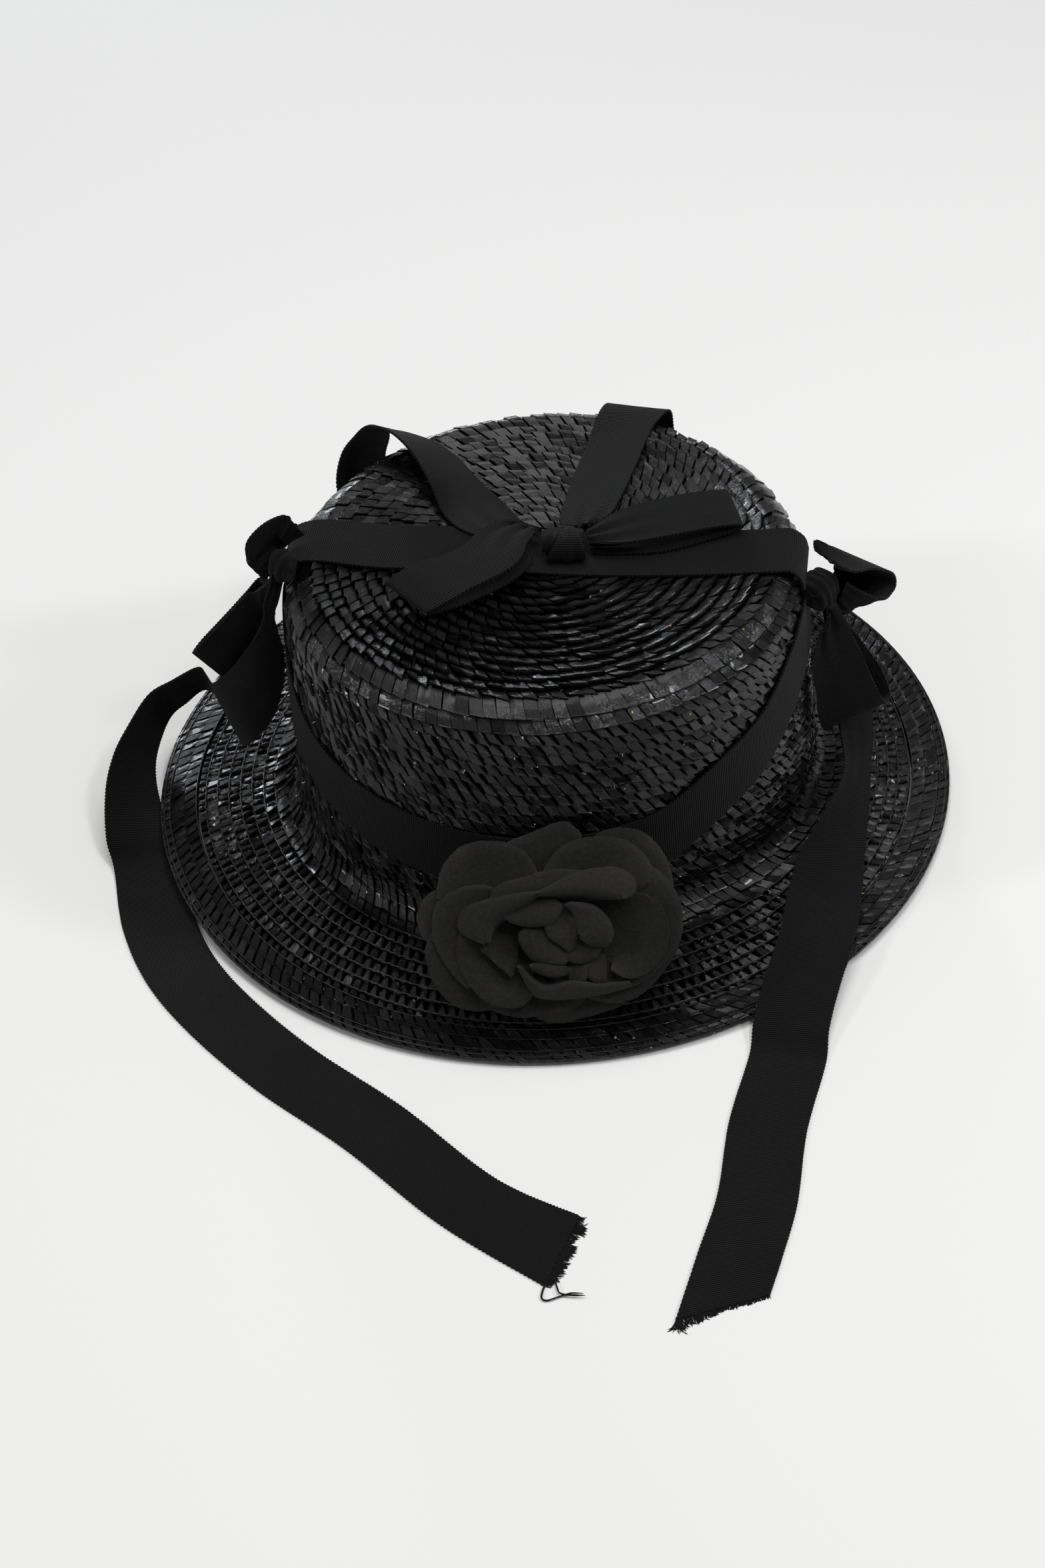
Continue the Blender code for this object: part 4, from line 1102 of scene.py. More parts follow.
@dataclass
class Plait:
    """Rows of flat braid laid over a swept profile.

    Each cell of a row is a small patch. Its points are f along the row and v across it,
    its middle is raised as a flat, its ends sink into slits, and its outer edge is a
    folded lip that hides the next row's start. The other fields are shares of a row or,
    for tuck and full_step, heights: where slits fade out, where a flat is fully raised,
    how far the row above casts painted shade on it, and how far a spiral runs past its
    first and last row.
    """

    profile: Profile
    stretches: tuple
    cell: float = CELL_LENGTH
    spiral: bool = True
    seed: int = 1
    along: tuple = (0.0, 0.05, 0.5, 0.95, 1.0)
    across: tuple = (-0.10, 0.04, 0.34, 0.68, 0.88, 0.97, 1.04)
    lip_at: float = 0.95
    lip_breadth: float = 0.05
    slit_end: float = 0.12
    flat_start: float = 0.04
    shade_end: float = 0.36
    shade_breadth: float = 0.30
    shade_under: float = 0.95
    lead: float = 0.9
    tail: float = 0.1
    tuck: float = 0.0002
    full_step: float = 0.0008

    def __post_init__(self) -> None:
        """Count the rows up to each distance: the sum of distance steps over pitches."""
        self.marks = np.array([mark for mark, _ in self.stretches]) * self.profile.length
        self.ruler = np.linspace(0.0, self.profile.length, RULER_POINTS)
        pitch = self.braid(self.ruler).pitch
        self.rows = wound(np.diff(self.ruler) * 0.5 * (1.0 / pitch[1:] + 1.0 / pitch[:-1]))
        if not self.spiral:
            self.rows = self.rows * round(self.rows[-1]) / self.rows[-1]

    def braid(self, distance: Array) -> Braid:
        """Return the braid's values at distances along the profile."""
        columns = np.array([braid for _, braid in self.stretches]).T
        return Braid(*[np.interp(distance, self.marks, column) for column in columns])

    def distance(self, rows: Array) -> Array:
        """Return the distance along the profile at a count of rows."""
        return np.interp(rows, self.rows, self.ruler)

    def girth(self, rows: Array) -> Array:
        """Return the length once round at a count of rows."""
        return self.profile.girth(self.distance(rows))

    def run(self, turns: Array) -> Array:
        """Return the length that a spiral has wound at each turn."""
        girth = self.girth(turns)
        return wound(0.5 * (girth[1:] + girth[:-1]) * np.diff(turns))

    def cells(self) -> tuple:
        """Share the rows out into cells.

        Equal steps of the length wound so far give the cells of a spiral. Rings have a
        whole number of equal cells each.

        Returns:
            Where each cell starts and ends, in turns, and its row's count.
        """
        if self.spiral:
            turns = np.linspace(-self.lead, self.rows[-1] - self.tail, SPIRAL_POINTS)
            run = self.run(turns)
            edges = np.interp(np.arange(0.0, run[-1], self.cell), run, turns)
            return edges[:-1], edges[1:], edges[:-1]
        rings = []
        for row in range(round(self.rows[-1])):
            number = max(8, round(float(self.girth(np.array(float(row)))) / self.cell))
            edges = (np.arange(number + 1) + RING_OFFSET * row) / number
            rings.append((edges[:-1], edges[1:], np.full(number, float(row))))
        return tuple(np.concatenate(values) for values in zip(*rings))

    def shape(self) -> Shape:
        """Make the rows.

        Height = seat + step * (v - 1/2), and on a flat tilt * chance + over * (f - 1/2),
        less the slit's depth at its ends, plus the lip, a narrow bell round the outer
        edge. Sideways, a flat leans by slant * (v - 1/2) and its edge swings by wave.

        Returns:
            The rows as one shape.
        """
        start, end, rows = (values[:, None, None] for values in self.cells())
        random = np.random.default_rng(self.seed)
        chance = random.normal(0.0, 1.0, (5, len(start), 1, 1)).clip(-2.0, 2.0)
        braid = self.braid(self.distance(rows))
        f = np.array(self.along)[None, :, None]
        v = np.array(self.across)[None, None, :]
        flat = (f > 0.01) & (f < 0.99)

        gap = braid.gap * (1.0 + 0.3 * chance[0]) * (0.3 + np.clip(1.0 - v, 0.0, 1.0))
        drawn = np.where(flat, 0.5 + (f - 0.5) * (1.0 - gap) / 0.9, f)
        lean = braid.slant * (v - 0.5) + 0.05 * chance[3] * v
        turn = start + (end - start) * (drawn + lean)
        swing = braid.wave * ((f - 0.5) + 0.4 * chance[4]) * np.clip(v, 0.0, 1.0)
        row = rows + (turn - start if self.spiral else 0.0)
        low = np.clip(-row, 0.0, 0.98)
        high = np.clip(self.rows[-1] - row, 0.02, 1.0)
        distance = self.distance(row + low + (high - low) * v + swing)

        lip = np.exp(-((v - self.lip_at) / self.lip_breadth) ** 2)
        body = np.where(flat, 1.0, 0.0) * np.clip(v / self.flat_start, 0.0, 1.0)
        ends = np.clip((1.0 - v) / self.slit_end, 0.0, 1.0)
        tilt = braid.tilt * (chance[1] + 1.5 * chance[2] * (f - 0.5) + chance[3] * (v - 0.5))
        raised = braid.seat + braid.step * (v - 0.5) + body * (tilt + braid.over * (f - 0.5))
        raised = raised - (1.0 - body) * braid.slit * ends
        raised = raised + lip * braid.lip * (1.0 + 0.25 * chance[3])
        hidden = (v > 1.0) | (v < 0.0)
        raised = np.where(hidden, braid.seat - 0.5 * braid.step - self.tuck, raised)
        points = self.profile.at(distance, 2.0 * np.pi * turn, raised)

        # Painted shade: darker on the strip of each row under the lip above, in the slits, and
        # under the lip itself.
        shade = np.clip((self.shade_end - v) / self.shade_breadth, 0.0, 1.0)
        shade = shade * np.clip(braid.step / self.full_step, 0.25, 1.0)
        painted_shade = np.maximum((1.0 - body) * ends, np.where(v > 1.0, self.shade_under, shade))
        # Tone: random by cell, and paler along each lip as a painted highlight.
        tone = braid.shine * np.clip(0.5 + 0.25 * chance[0] + 0.25 * lip, 0.0, 1.0)
        number = np.arange(len(start))[:, None, None]
        patch = grid_faces(len(self.along), len(self.across))
        faces = (patch + len(self.along) * len(self.across) * number).reshape(-1, 4)
        return straw_shape(points, faces[:, ::-1], (number + f, v), painted_shade, tone)

    def tube(self, turn: Array, distance: Array, raised: Array,
             radius: Array, cells: Array) -> Shape:
        """Make a six-sided cord along a path. Each array has one value for each point.

        Args:
            turn: Turns round the oval.
            distance: Distances along the profile.
            raised: Heights over the profile.
            radius: The cord's radii.
            cells: Counts of cells passed so far.

        Returns:
            The cord.
        """
        around = np.arange(CORD_SIDES + 1) * np.pi / (CORD_SIDES / 2)
        radius = radius[:, None]
        distance = distance[:, None] + radius * np.cos(around)
        raised = raised[:, None] + radius * np.sin(around)
        theta = 2.0 * np.pi * np.broadcast_to(turn[:, None], raised.shape)
        points = self.profile.at(distance, theta, raised)
        faces = grid_faces(len(turn), CORD_SIDES + 1)[:, ::-1]
        # The cords get no painted shade and a high tone that paints them pale as a highlight.
        return straw_shape(points, faces, (cells[:, None], around / CORD_SIDES), 0.0, CORD_SHINE_AND_HIGHLIGHT)

    def cord(self, first: float, last: float) -> Shape:
        """Make a raised cord along the edges of the rows, which sways once a cell.

        Args:
            first: Count of rows where it starts.
            last: Count of rows where it ends.

        Returns:
            The cord.
        """
        turns = np.linspace(first, last, CORD_SAMPLES)
        run = self.run(turns)
        at = np.arange(0.0, run[-1], self.cell / CORD_POINTS)
        turn = np.interp(at, run, turns)
        phase = 2.0 * np.pi * at / self.cell
        uneven = 1.0 + 0.25 * np.sin(0.37 * phase) * np.cos(1.7 * phase + 1.0)
        radius = CORD_RADIUS * uneven * (1.0 + 0.2 * np.cos(phase))
        distance = self.distance(turn) + CORD_SWAY * np.sin(phase)
        raised = CORD_HEIGHT + 0.15 * CORD_RADIUS * np.cos(2.0 * phase)
        return self.tube(turn, distance, raised, radius, at / self.cell)

    def cord_ring(self, row: float, share: float) -> Shape:
        """Make a cord once round the oval.

        Args:
            row: Count of rows where it lies.
            share: Its radius, as a share of the cord's.

        Returns:
            The ring.
        """
        radius = CORD_RADIUS * share
        cells = round(float(self.girth(np.array(row))) / self.cell)
        turn = np.linspace(0.0, 1.0, cells * CORD_POINTS + 1)
        phase = 2.0 * np.pi * cells * turn
        distance = self.distance(np.array(row)) + 0.2 * radius * np.sin(phase)
        raised = np.full(len(turn), RING_HEIGHT)
        return self.tube(turn, distance, raised, radius * (1.0 + 0.1 * np.cos(phase)), cells * turn)

    def plain_side(self, turns: int, lines: int) -> Shape:
        """Make a smooth skin under the rows, facing away from them.

        Args:
            turns: Points round the oval.
            lines: Points along the profile.

        Returns:
            The skin, with the rows' own pattern places.
        """
        theta = np.linspace(0.0, 2.0 * np.pi, turns + 1)[:, None]
        distance = np.linspace(0.0, self.profile.length, lines)[None, :]
        theta, distance = np.broadcast_arrays(theta, distance)
        points = self.profile.at(distance, theta, np.full(theta.shape, -STRAW_THICKNESS))
        rows = np.interp(distance, self.ruler, self.rows) - theta / (2.0 * np.pi)
        cells = theta * self.profile.girth(distance) / (2.0 * np.pi * self.cell)
        faces = grid_faces(turns + 1, lines)
        return straw_shape(points, faces, (cells + 0.5 * rows, rows), 0.0, SKIN_TONE)


def crown_outline(height: Array) -> Array:
    """Return the crown's half width and half depth at heights on its wall."""
    flare = CROWN_FLARE * np.maximum(1.0 - height / (CROWN_HEIGHT - SHOULDER_RADIUS), 0.0)
    return np.stack([CROWN_HALF_WIDTH + flare, CROWN_HALF_DEPTH + flare])


def crown_profile() -> Profile:
    """Draw the line from the tip's middle over the shoulder and down the wall.

    The shoulder is a quarter circle, flattened by a share towards a straight slope.

    Returns:
        The profile.
    """
    share = np.linspace(TIP_START, 1.0, TIP_POINTS)
    arc = np.linspace(0.0, np.pi / 2, ARC_POINTS)[1:]
    out = (1.0 - SHOULDER_FLAT) * np.sin(arc) + SHOULDER_FLAT * arc / (np.pi / 2)
    up = (1.0 - SHOULDER_FLAT) * np.cos(arc) + SHOULDER_FLAT * (1.0 - arc / (np.pi / 2))
    wall_top = CROWN_HEIGHT - SHOULDER_RADIUS
    wall = np.linspace(wall_top, BRIM_INNER_HEIGHT + BRIM_FILLET + GAP, WALL_POINTS)[1:]
    tip = np.array([[CROWN_HALF_WIDTH], [CROWN_HALF_DEPTH]]) - SHOULDER_RADIUS
    size = np.concatenate([tip * share, tip + SHOULDER_RADIUS * out, crown_outline(wall)], 1)
    top = np.full(TIP_POINTS, CROWN_HEIGHT)
    height = np.concatenate([top, wall_top + SHOULDER_RADIUS * up, wall])
    return Profile(size, height, np.ones(len(height)), np.zeros(len(height)))


def brim_profile() -> Profile:
    """Draw the line from the wall's foot through the hollow curve to the rim.

    Returns:
        The profile.
    """
    foot = BRIM_INNER_HEIGHT + BRIM_FILLET
    arc = np.linspace(0.0, np.pi / 2, ARC_POINTS)
    share = np.linspace(0.0, 1.0, SLOPE_POINTS)[1:]
    foot_size = crown_outline(np.array([foot]))
    inner = foot_size + BRIM_FILLET
    outer = np.array([[BRIM_HALF_WIDTH], [BRIM_HALF_DEPTH]]) - RIM_BREADTH - GAP
    hollow = foot_size + BRIM_FILLET * (1.0 - np.cos(arc))
    slope = BRIM_INNER_HEIGHT + (BRIM_OUTER_HEIGHT - BRIM_INNER_HEIGHT) * share
    return Profile(
        np.concatenate([hollow, inner + (outer - inner) * share], 1),
        np.concatenate([foot - BRIM_FILLET * np.sin(arc), slope]),
        np.concatenate([np.ones(ARC_POINTS), 1.0 - share]),
        np.concatenate([np.zeros(ARC_POINTS), share]),
    )


def rim_profile() -> Profile:
    """Draw the line over the rim's top, round its edge and back underneath.

    Returns:
        The profile.
    """
    section = np.array(RIM_SECTION)
    inward, up = through(section, np.linspace(0.0, len(section) - 1.0, RIM_POINTS)).T
    size = np.array([[BRIM_HALF_WIDTH], [BRIM_HALF_DEPTH]]) - RIM_BREADTH * inward
    height = RIM_THICKNESS * np.maximum(up, 0.0)
    return Profile(size, height, np.zeros(RIM_POINTS), np.ones(RIM_POINTS))


@dataclass
class StrawBody:
    """Crown, brim and rim of braided straw."""

    material: Material
    skin_turns: int = 96
    cord_rings: tuple = ((0.08, 0.9), (2.10, 0.8), (2.52, 1.0), (2.95, 1.1))

    def build(self) -> None:
        """Make the three straw pieces."""
        crown = Plait(crown_profile(), CROWN_STRETCHES, seed=11)
        self.finish("crown", crown.shape(), crown.plain_side(self.skin_turns, 40))
        brim = Plait(brim_profile(), BRIM_STRETCHES, cell=BRIM_CELL, seed=12)
        first = float(np.interp(FILLET_END * brim.profile.length, brim.ruler, brim.rows))
        cord = brim.cord(first, brim.rows[-1] - 0.02)
        self.finish("brim", brim.shape(), cord, brim.plain_side(self.skin_turns, 16))
        edge = Plait(rim_profile(), RIM_STRETCHES, spiral=False, seed=13)
        rings = [edge.cord_ring(row, share) for row, share in self.cord_rings]
        self.finish("edge_braid", edge.shape(), *rings, lowest=0.0)

    def finish(self, name: str, *shapes: Shape, lowest: float | None = None) -> None:
        """Make one straw piece, standing for its node.

        Args:
            name: The node's name.
            shapes: The shapes that make it up.
            lowest: Height that its points are kept above, if it needs one.
        """
        shape = joined(*shapes)
        if lowest is not None:
            shape.points[:, 2] = np.maximum(shape.points[:, 2], lowest)
        piece = add_piece(name + "_straw", shape, self.material, "rows", STRAW_CREASE)
        dress(piece, Slot.STRAW, name)


def scalloped(distance: Array, width: Array | float) -> tuple:
    """Return places across a ribbon, as shares of its width.

    Args:
        distance: Distances along the ribbon.
        width: The ribbon's width at each distance, or one width.

    Returns:
        Even shares, and shares for each distance whose edges swing in and out.
    """
    share = np.linspace(-0.5, 0.5, RIBBON_COLUMNS)[None, :]
    scallop = SCALLOP_DEPTH * np.abs(np.sin(np.pi * distance / SCALLOP_PITCH))[:, None]
    edge = np.abs(share) > 0.49
    return share, share * (1.0 + edge * 2.0 * (scallop - SCALLOP_DEPTH / 2) / width)


@dataclass
class Ribbon:
    """A length of ribbon through its stations."""

    name: str
    hold: Hold
    stations: tuple
    material: Material
    fringe: tuple = ()

    def lines(self) -> tuple:
        """Lay even steps along the ribbon.

        Returns:
            The middles, the cross lines and the distances.
        """
        turn, reach, up, bearing, tilt, spread = np.array(self.stations).T
        middles = hat_places(turn, reach, up)
        bearing, tilt = np.radians(bearing), np.radians(tilt)
        level = np.cos(tilt)
        across = np.stack([np.cos(bearing) * level, np.sin(bearing) * level, np.sin(tilt)], -1)
        across = across * (RIBBON_WIDTH * spread[:, None])
        at, distance = even_places(middles, STATION_SAMPLES * len(middles))
        return through(middles, at), through(across, at), distance

    def grid(self) -> tuple:
        """Make the ribbon's middle surface.

        A point is the middle plus a share of the cross line, and a narrow stretch folds
        into pleats. Where the cross line of a laid ribbon is askew at its cut, its places
        run on along the ribbon by the same amount, so the ribs stay square to the edges.

        Returns:
            The points, their places on the cloth and the ribbon's length.
        """
        middles, across, distance = self.lines()
        width = np.linalg.norm(across, axis=1)[:, None]
        share, reach = scalloped(distance, width)
        points = middles[:, None, :] + across[:, None, :] * reach[..., None]
        gather = np.clip(1.0 - width / RIBBON_WIDTH, 0.0, 1.0) ** 1.5
        pleat = PLEAT_DEPTH * gather * np.sin(2.0 * np.pi * PLEATS * (share + 0.25))
        points = points + surface_normals(points) * pleat[..., None]
        points[..., 2] = np.maximum(points[..., 2], RIBBON_THICKNESS / 2)
        ahead = unit(np.gradient(middles, axis=0))
        askew = np.clip((distance / distance[-1] - ASKEW_FROM) / ASKEW_OVER, 0.0, 1.0)[:, None]
        askew = askew if self.hold is Hold.LAID else 0.0
        along = distance[:, None] + askew * reach * (across * ahead).sum(axis=1, keepdims=True)
        return points, np.stack([along, reach * RIBBON_WIDTH], -1), float(distance[-1])

    def build(self) -> None:
        """Make the ribbon's piece, one sheet."""
        points, uv, length = self.grid()
        shape = closed_sheet(points, uv, RIBBON_SHEET)
        piece = add_piece(self.name + "_cloth", shape, self.material, crease=CLOTH_CREASE)
        dress(piece, Slot.RIBBON, self.name)


@dataclass
class Band:
    """The ribbon round the crown wall, dipping at the front and the back."""

    material: Material
    clear: float = GAP + RIBBON_THICKNESS / 2

    def build(self) -> None:
        """Make the band: its heights follow a smooth closed line round the crown."""
        turns, heights = np.array(BAND_LINE, float).T
        girth = 2.0 * np.pi * 0.5 * (CROWN_HALF_WIDTH + CROWN_HALF_DEPTH)
        turn = np.linspace(0.0, 360.0, int(girth / RIBBON_SAMPLE), endpoint=False)
        at = np.interp(turn, np.append(turns, 360.0), np.arange(len(turns) + 1.0))
        middle = CROWN_HEIGHT * through(heights, at, closed=True)
        distance = girth * turn / 360.0
        across = scalloped(distance, BAND_WIDTH)[1] * BAND_WIDTH
        height = middle[:, None] + across
        width, depth = crown_outline(height)
        angle = np.radians(turn)[:, None]
        points = np.stack([
            CROWN_SHIFT_X + (width + self.clear) * np.cos(angle),
            CROWN_SHIFT_Y + (depth + self.clear) * np.sin(angle),
            height,
        ], -1)
        uv = np.stack([np.broadcast_to(distance[:, None], across.shape), across], -1)
        shape = closed_sheet(points, uv, RIBBON_SHEET, closed_rows=True)
        piece = add_piece("hat_band_cloth", shape, self.material, crease=CLOTH_CREASE)
        dress(piece, Slot.RIBBON, "hat_band")


@dataclass
class Knot:
    """A soft wrapped knot: a pillow with pleats that run round it."""

    name: str
    middle: Array
    size: tuple
    turns: tuple
    material: Material
    slot: Slot = Slot.RIBBON
    pleats: int = 5
    press: float = 0.09
    dimple: float = 0.18
    square: float = 2.6
    columns: int = 33
    rows: int = 72

    def build(self) -> None:
        """Make the knot.

        A ball's points are pushed towards a box by a power. A wave along the wrap's axis,
        which is the knot's second one, presses pleats into it, and both ends of the axis
        sink in as dimples.
        """
        around = np.linspace(0.0, 2.0 * np.pi, self.rows + 1)[:-1][:, None]
        along = np.linspace(-0.5, 0.5, self.columns)[None, :] * np.pi
        ball = np.stack(np.broadcast_arrays(
            np.cos(around) * np.cos(along), np.sin(along), np.sin(around) * np.cos(along)), -1)
        norm = (np.abs(ball) ** self.square).sum(-1, keepdims=True) ** (1.0 / self.square)
        swing = 0.9 * np.sin(around + 0.6)[..., None]
        wave = np.sin(0.5 * np.pi * self.pleats * ball[..., 1:2] + swing)
        pleat = 1.0 - 2.0 * np.abs(wave) ** 0.7
        local = ball / norm * (1.0 - self.press * pleat)
        local[..., 1] *= 1.0 - self.dimple * np.exp(-((1.0 - np.abs(ball[..., 1])) / 0.16) ** 2)
        local = local * np.array(self.size) * KNOT_WIDTH * KNOT_SCALE
        turns = Matrix.Identity(3)
        for angle, axis in zip(reversed(self.turns), "ZYX"):
            turns = turns @ Matrix.Rotation(math.radians(angle), 3, axis)
        points = local @ np.array(turns).T + self.middle
        uv = np.stack(np.broadcast_arrays(around * KNOT_CLOTH, along * KNOT_CLOTH), -1)
        faces = grid_faces(self.rows, self.columns, closed_rows=True)
        shape = Shape(points.reshape(-1, 3), faces, uv.reshape(-1, 2))
        dress(add_piece(self.name + "_cloth", shape, self.material), self.slot, self.name)


@dataclass
class Wrap:
    """A short band of ribbon wound once round a knot."""

    name: str
    middle: Array
    reach: tuple
    breadth: float
    turn: float
    material: Material
    pinch: float = 0.42
    pinch_at: float = 0.9
    square: float = 2.4
    drift: float = 0.0012
    rows: int = 240
    columns: int = 25

    def build(self) -> None:
        """Make the band.

        Its middle line is an oval pushed towards a box by a power. The cross line lies
        along the knot's axis and is shorter on the pinched side. Soft folds run along the
        band, and its two edges turn in towards the knot.
        """
        girth = 2.0 * np.pi * float(np.hypot(*self.reach)) / math.sqrt(2.0)
        around = np.linspace(0.0, 2.0 * np.pi, self.rows, endpoint=False)[:, None]
        share = np.linspace(-0.5, 0.5, self.columns)[None, :]
        cosine, sine = np.cos(around), np.sin(around)
        norm = (np.abs(cosine) ** self.square + np.abs(sine) ** self.square) ** (1.0 / self.square)
        fold = 0.05 * np.cos(2.0 * np.pi * 2.3 * share + 1.1 * np.sin(around + 0.4))
        size = (1.0 + fold - 0.9 * np.abs(share) ** 3) / norm
        breadth = self.breadth * (1.0 - self.pinch * np.cos(around - self.pinch_at))
        along = share * breadth + self.drift * np.sin(around - 0.5)
        back = self.reach[0] * cosine * size
        lean = math.radians(self.turn)
        points = np.stack([
            along * math.cos(lean) - back * math.sin(lean),
            along * math.sin(lean) + back * math.cos(lean),
            self.reach[1] * sine * size,
        ], -1) + self.middle
        places = np.broadcast_arrays(around * girth / (2.0 * np.pi), share * RIBBON_WIDTH)
        uv = np.stack(places, -1)
        shape = closed_sheet(points[::-1], uv[::-1], WRAP_SHEET, closed_rows=True)
        piece = add_piece(self.name + "_cloth", shape, self.material, crease=PETAL_CREASE)
        dress(piece, Slot.RIBBON)


def threads(paths: Array, radius: float) -> Shape:
    """Make square threads along many paths, with closed ends.

    Four points lie round each point of a path, across its direction, and the last fifth
    of each thread thins out.

    Args:
        paths: Threads by points by three.
        radius: Half a thread's thickness.

    Returns:
        The threads as one shape, each at one place on the cloth.
    """
    count, steps = paths.shape[:2]
    ahead = unit(np.gradient(paths, axis=1))
    first = unit(np.cross(ahead, np.array([0.35, 0.20, 0.90])))
    second = np.cross(ahead, first)
    angle = (np.arange(4) * 0.5 * np.pi)[None, :, None, None]
    thin = radius * np.interp(np.linspace(0.0, 1.0, steps), (0.0, 0.8, 1.0), (1.0, 1.0, 0.35))
    ring = np.cos(angle) * first[:, None] + np.sin(angle) * second[:, None]
    points = paths[:, None] + ring * thin[:, None]
    points[..., 2] = np.maximum(points[..., 2], LOWEST_THREAD)
    side = grid_faces(4, steps, closed_rows=True)
    caps = np.array([[0, 3, 2, 1], [0, 1, 2, 3]]) * steps + np.array([[0], [steps - 1]])
    one = np.concatenate([side, caps])
    faces = (one[None] + 4 * steps * np.arange(count)[:, None, None]).reshape(-1, 4)
    uv = np.tile([RIB_PITCH / 4, 0.0], (count * 4 * steps, 1))
    return Shape(points.reshape(-1, 3), faces, uv)


@dataclass
class Fray:
    """Loose warp threads at the cut end of a ribbon.

    lengths are in millimetres, at even places from one edge of the ribbon to the other.
    bend turns all the threads, in degrees, clumps is how many bunches they make, and
    inside is how far each thread starts within the cut.
    """

    name: str
    ribbon: Ribbon
    lengths: tuple
    bend: float
    clumps: int
    count: int = 300
    seed: int = 3
    inside: float = 0.0009
    points: int = 7

    def build(self) -> Piece:
        """Make the threads: each starts inside the cut and runs on along the ribbon,
        turned and cut shorter by its bunch's chance and its own.

        Returns:
            The piece.
        """
        middles, across, _ = self.ribbon.lines()
        random = np.random.default_rng(self.seed)
        place = np.sort(random.uniform(0.0, 1.0, self.count))
        bunch = np.minimum((place * self.clumps).astype(int), self.clumps - 1)
        chance = random.normal(0.0, 1.0, (2, self.clumps)).clip(-1.5, 1.5)[:, bunch]
        own = random.normal(0.0, 1.0, (3, self.count)).clip(-2.0, 2.0)
        length = np.interp(place, np.linspace(0.0, 1.0, len(self.lengths)), self.lengths)
        length = MILLIMETRE * length * (1.0 + 0.22 * chance[0] + 0.15 * own[0])
        ahead = middles[-1] - middles[-4]
        start = math.atan2(ahead[1], ahead[0]) + math.radians(self.bend)
        turn = start + 0.26 * chance[1] + 0.06 * own[1]
        share = np.linspace(0.0, 1.0, self.points)[None, :]
        run = share * (length[:, None] + self.inside) - self.inside
        angle = turn[:, None] + (0.35 * own[2])[:, None] * share
        root = middles[-1] + across[-1] * (place[:, None] - 0.5)
        paths = np.repeat(root[:, None, :], self.points, axis=1)
        paths[..., 0] += run * np.cos(angle)
        paths[..., 1] += run * np.sin(angle)
        rise = RIBBON_THICKNESS * 0.5 * (1.0 - share) * (0.7 + 0.3 * np.abs(own[:1].T))
        paths[..., 2] = THREAD_RADIUS + rise
        piece = add_piece(self.name, threads(paths, THREAD_RADIUS), self.ribbon.material)
        return dress(piece, Slot.RIBBON)


@dataclass
class Thread:
    """One loose thread, a smooth curve through a few points."""

    name: str
    points: Array
    material: Material
    radius: float = THREAD_RADIUS

    def build(self) -> Piece:
        """Make the thread and return its piece."""
        shape = threads(evenly_through(self.points, 60)[None], self.radius)
        return dress(add_piece(self.name, shape, self.material), Slot.RIBBON)


def tilted_axes(lean: float, roll: float) -> tuple:
    """Find the right and upper directions of a face that looks to the front.

    Args:
        lean: How steeply its upper direction rises, in radians.
        roll: How far the face is rolled clockwise, in radians.

    Returns:
        The two directions.
    """
    side = np.array([1.0, 0.0, 0.0])
    rise = np.array([0.0, math.cos(lean), math.sin(lean)])
    return (math.cos(roll) * side - math.sin(roll) * rise,
            math.cos(roll) * rise + math.sin(roll) * side)


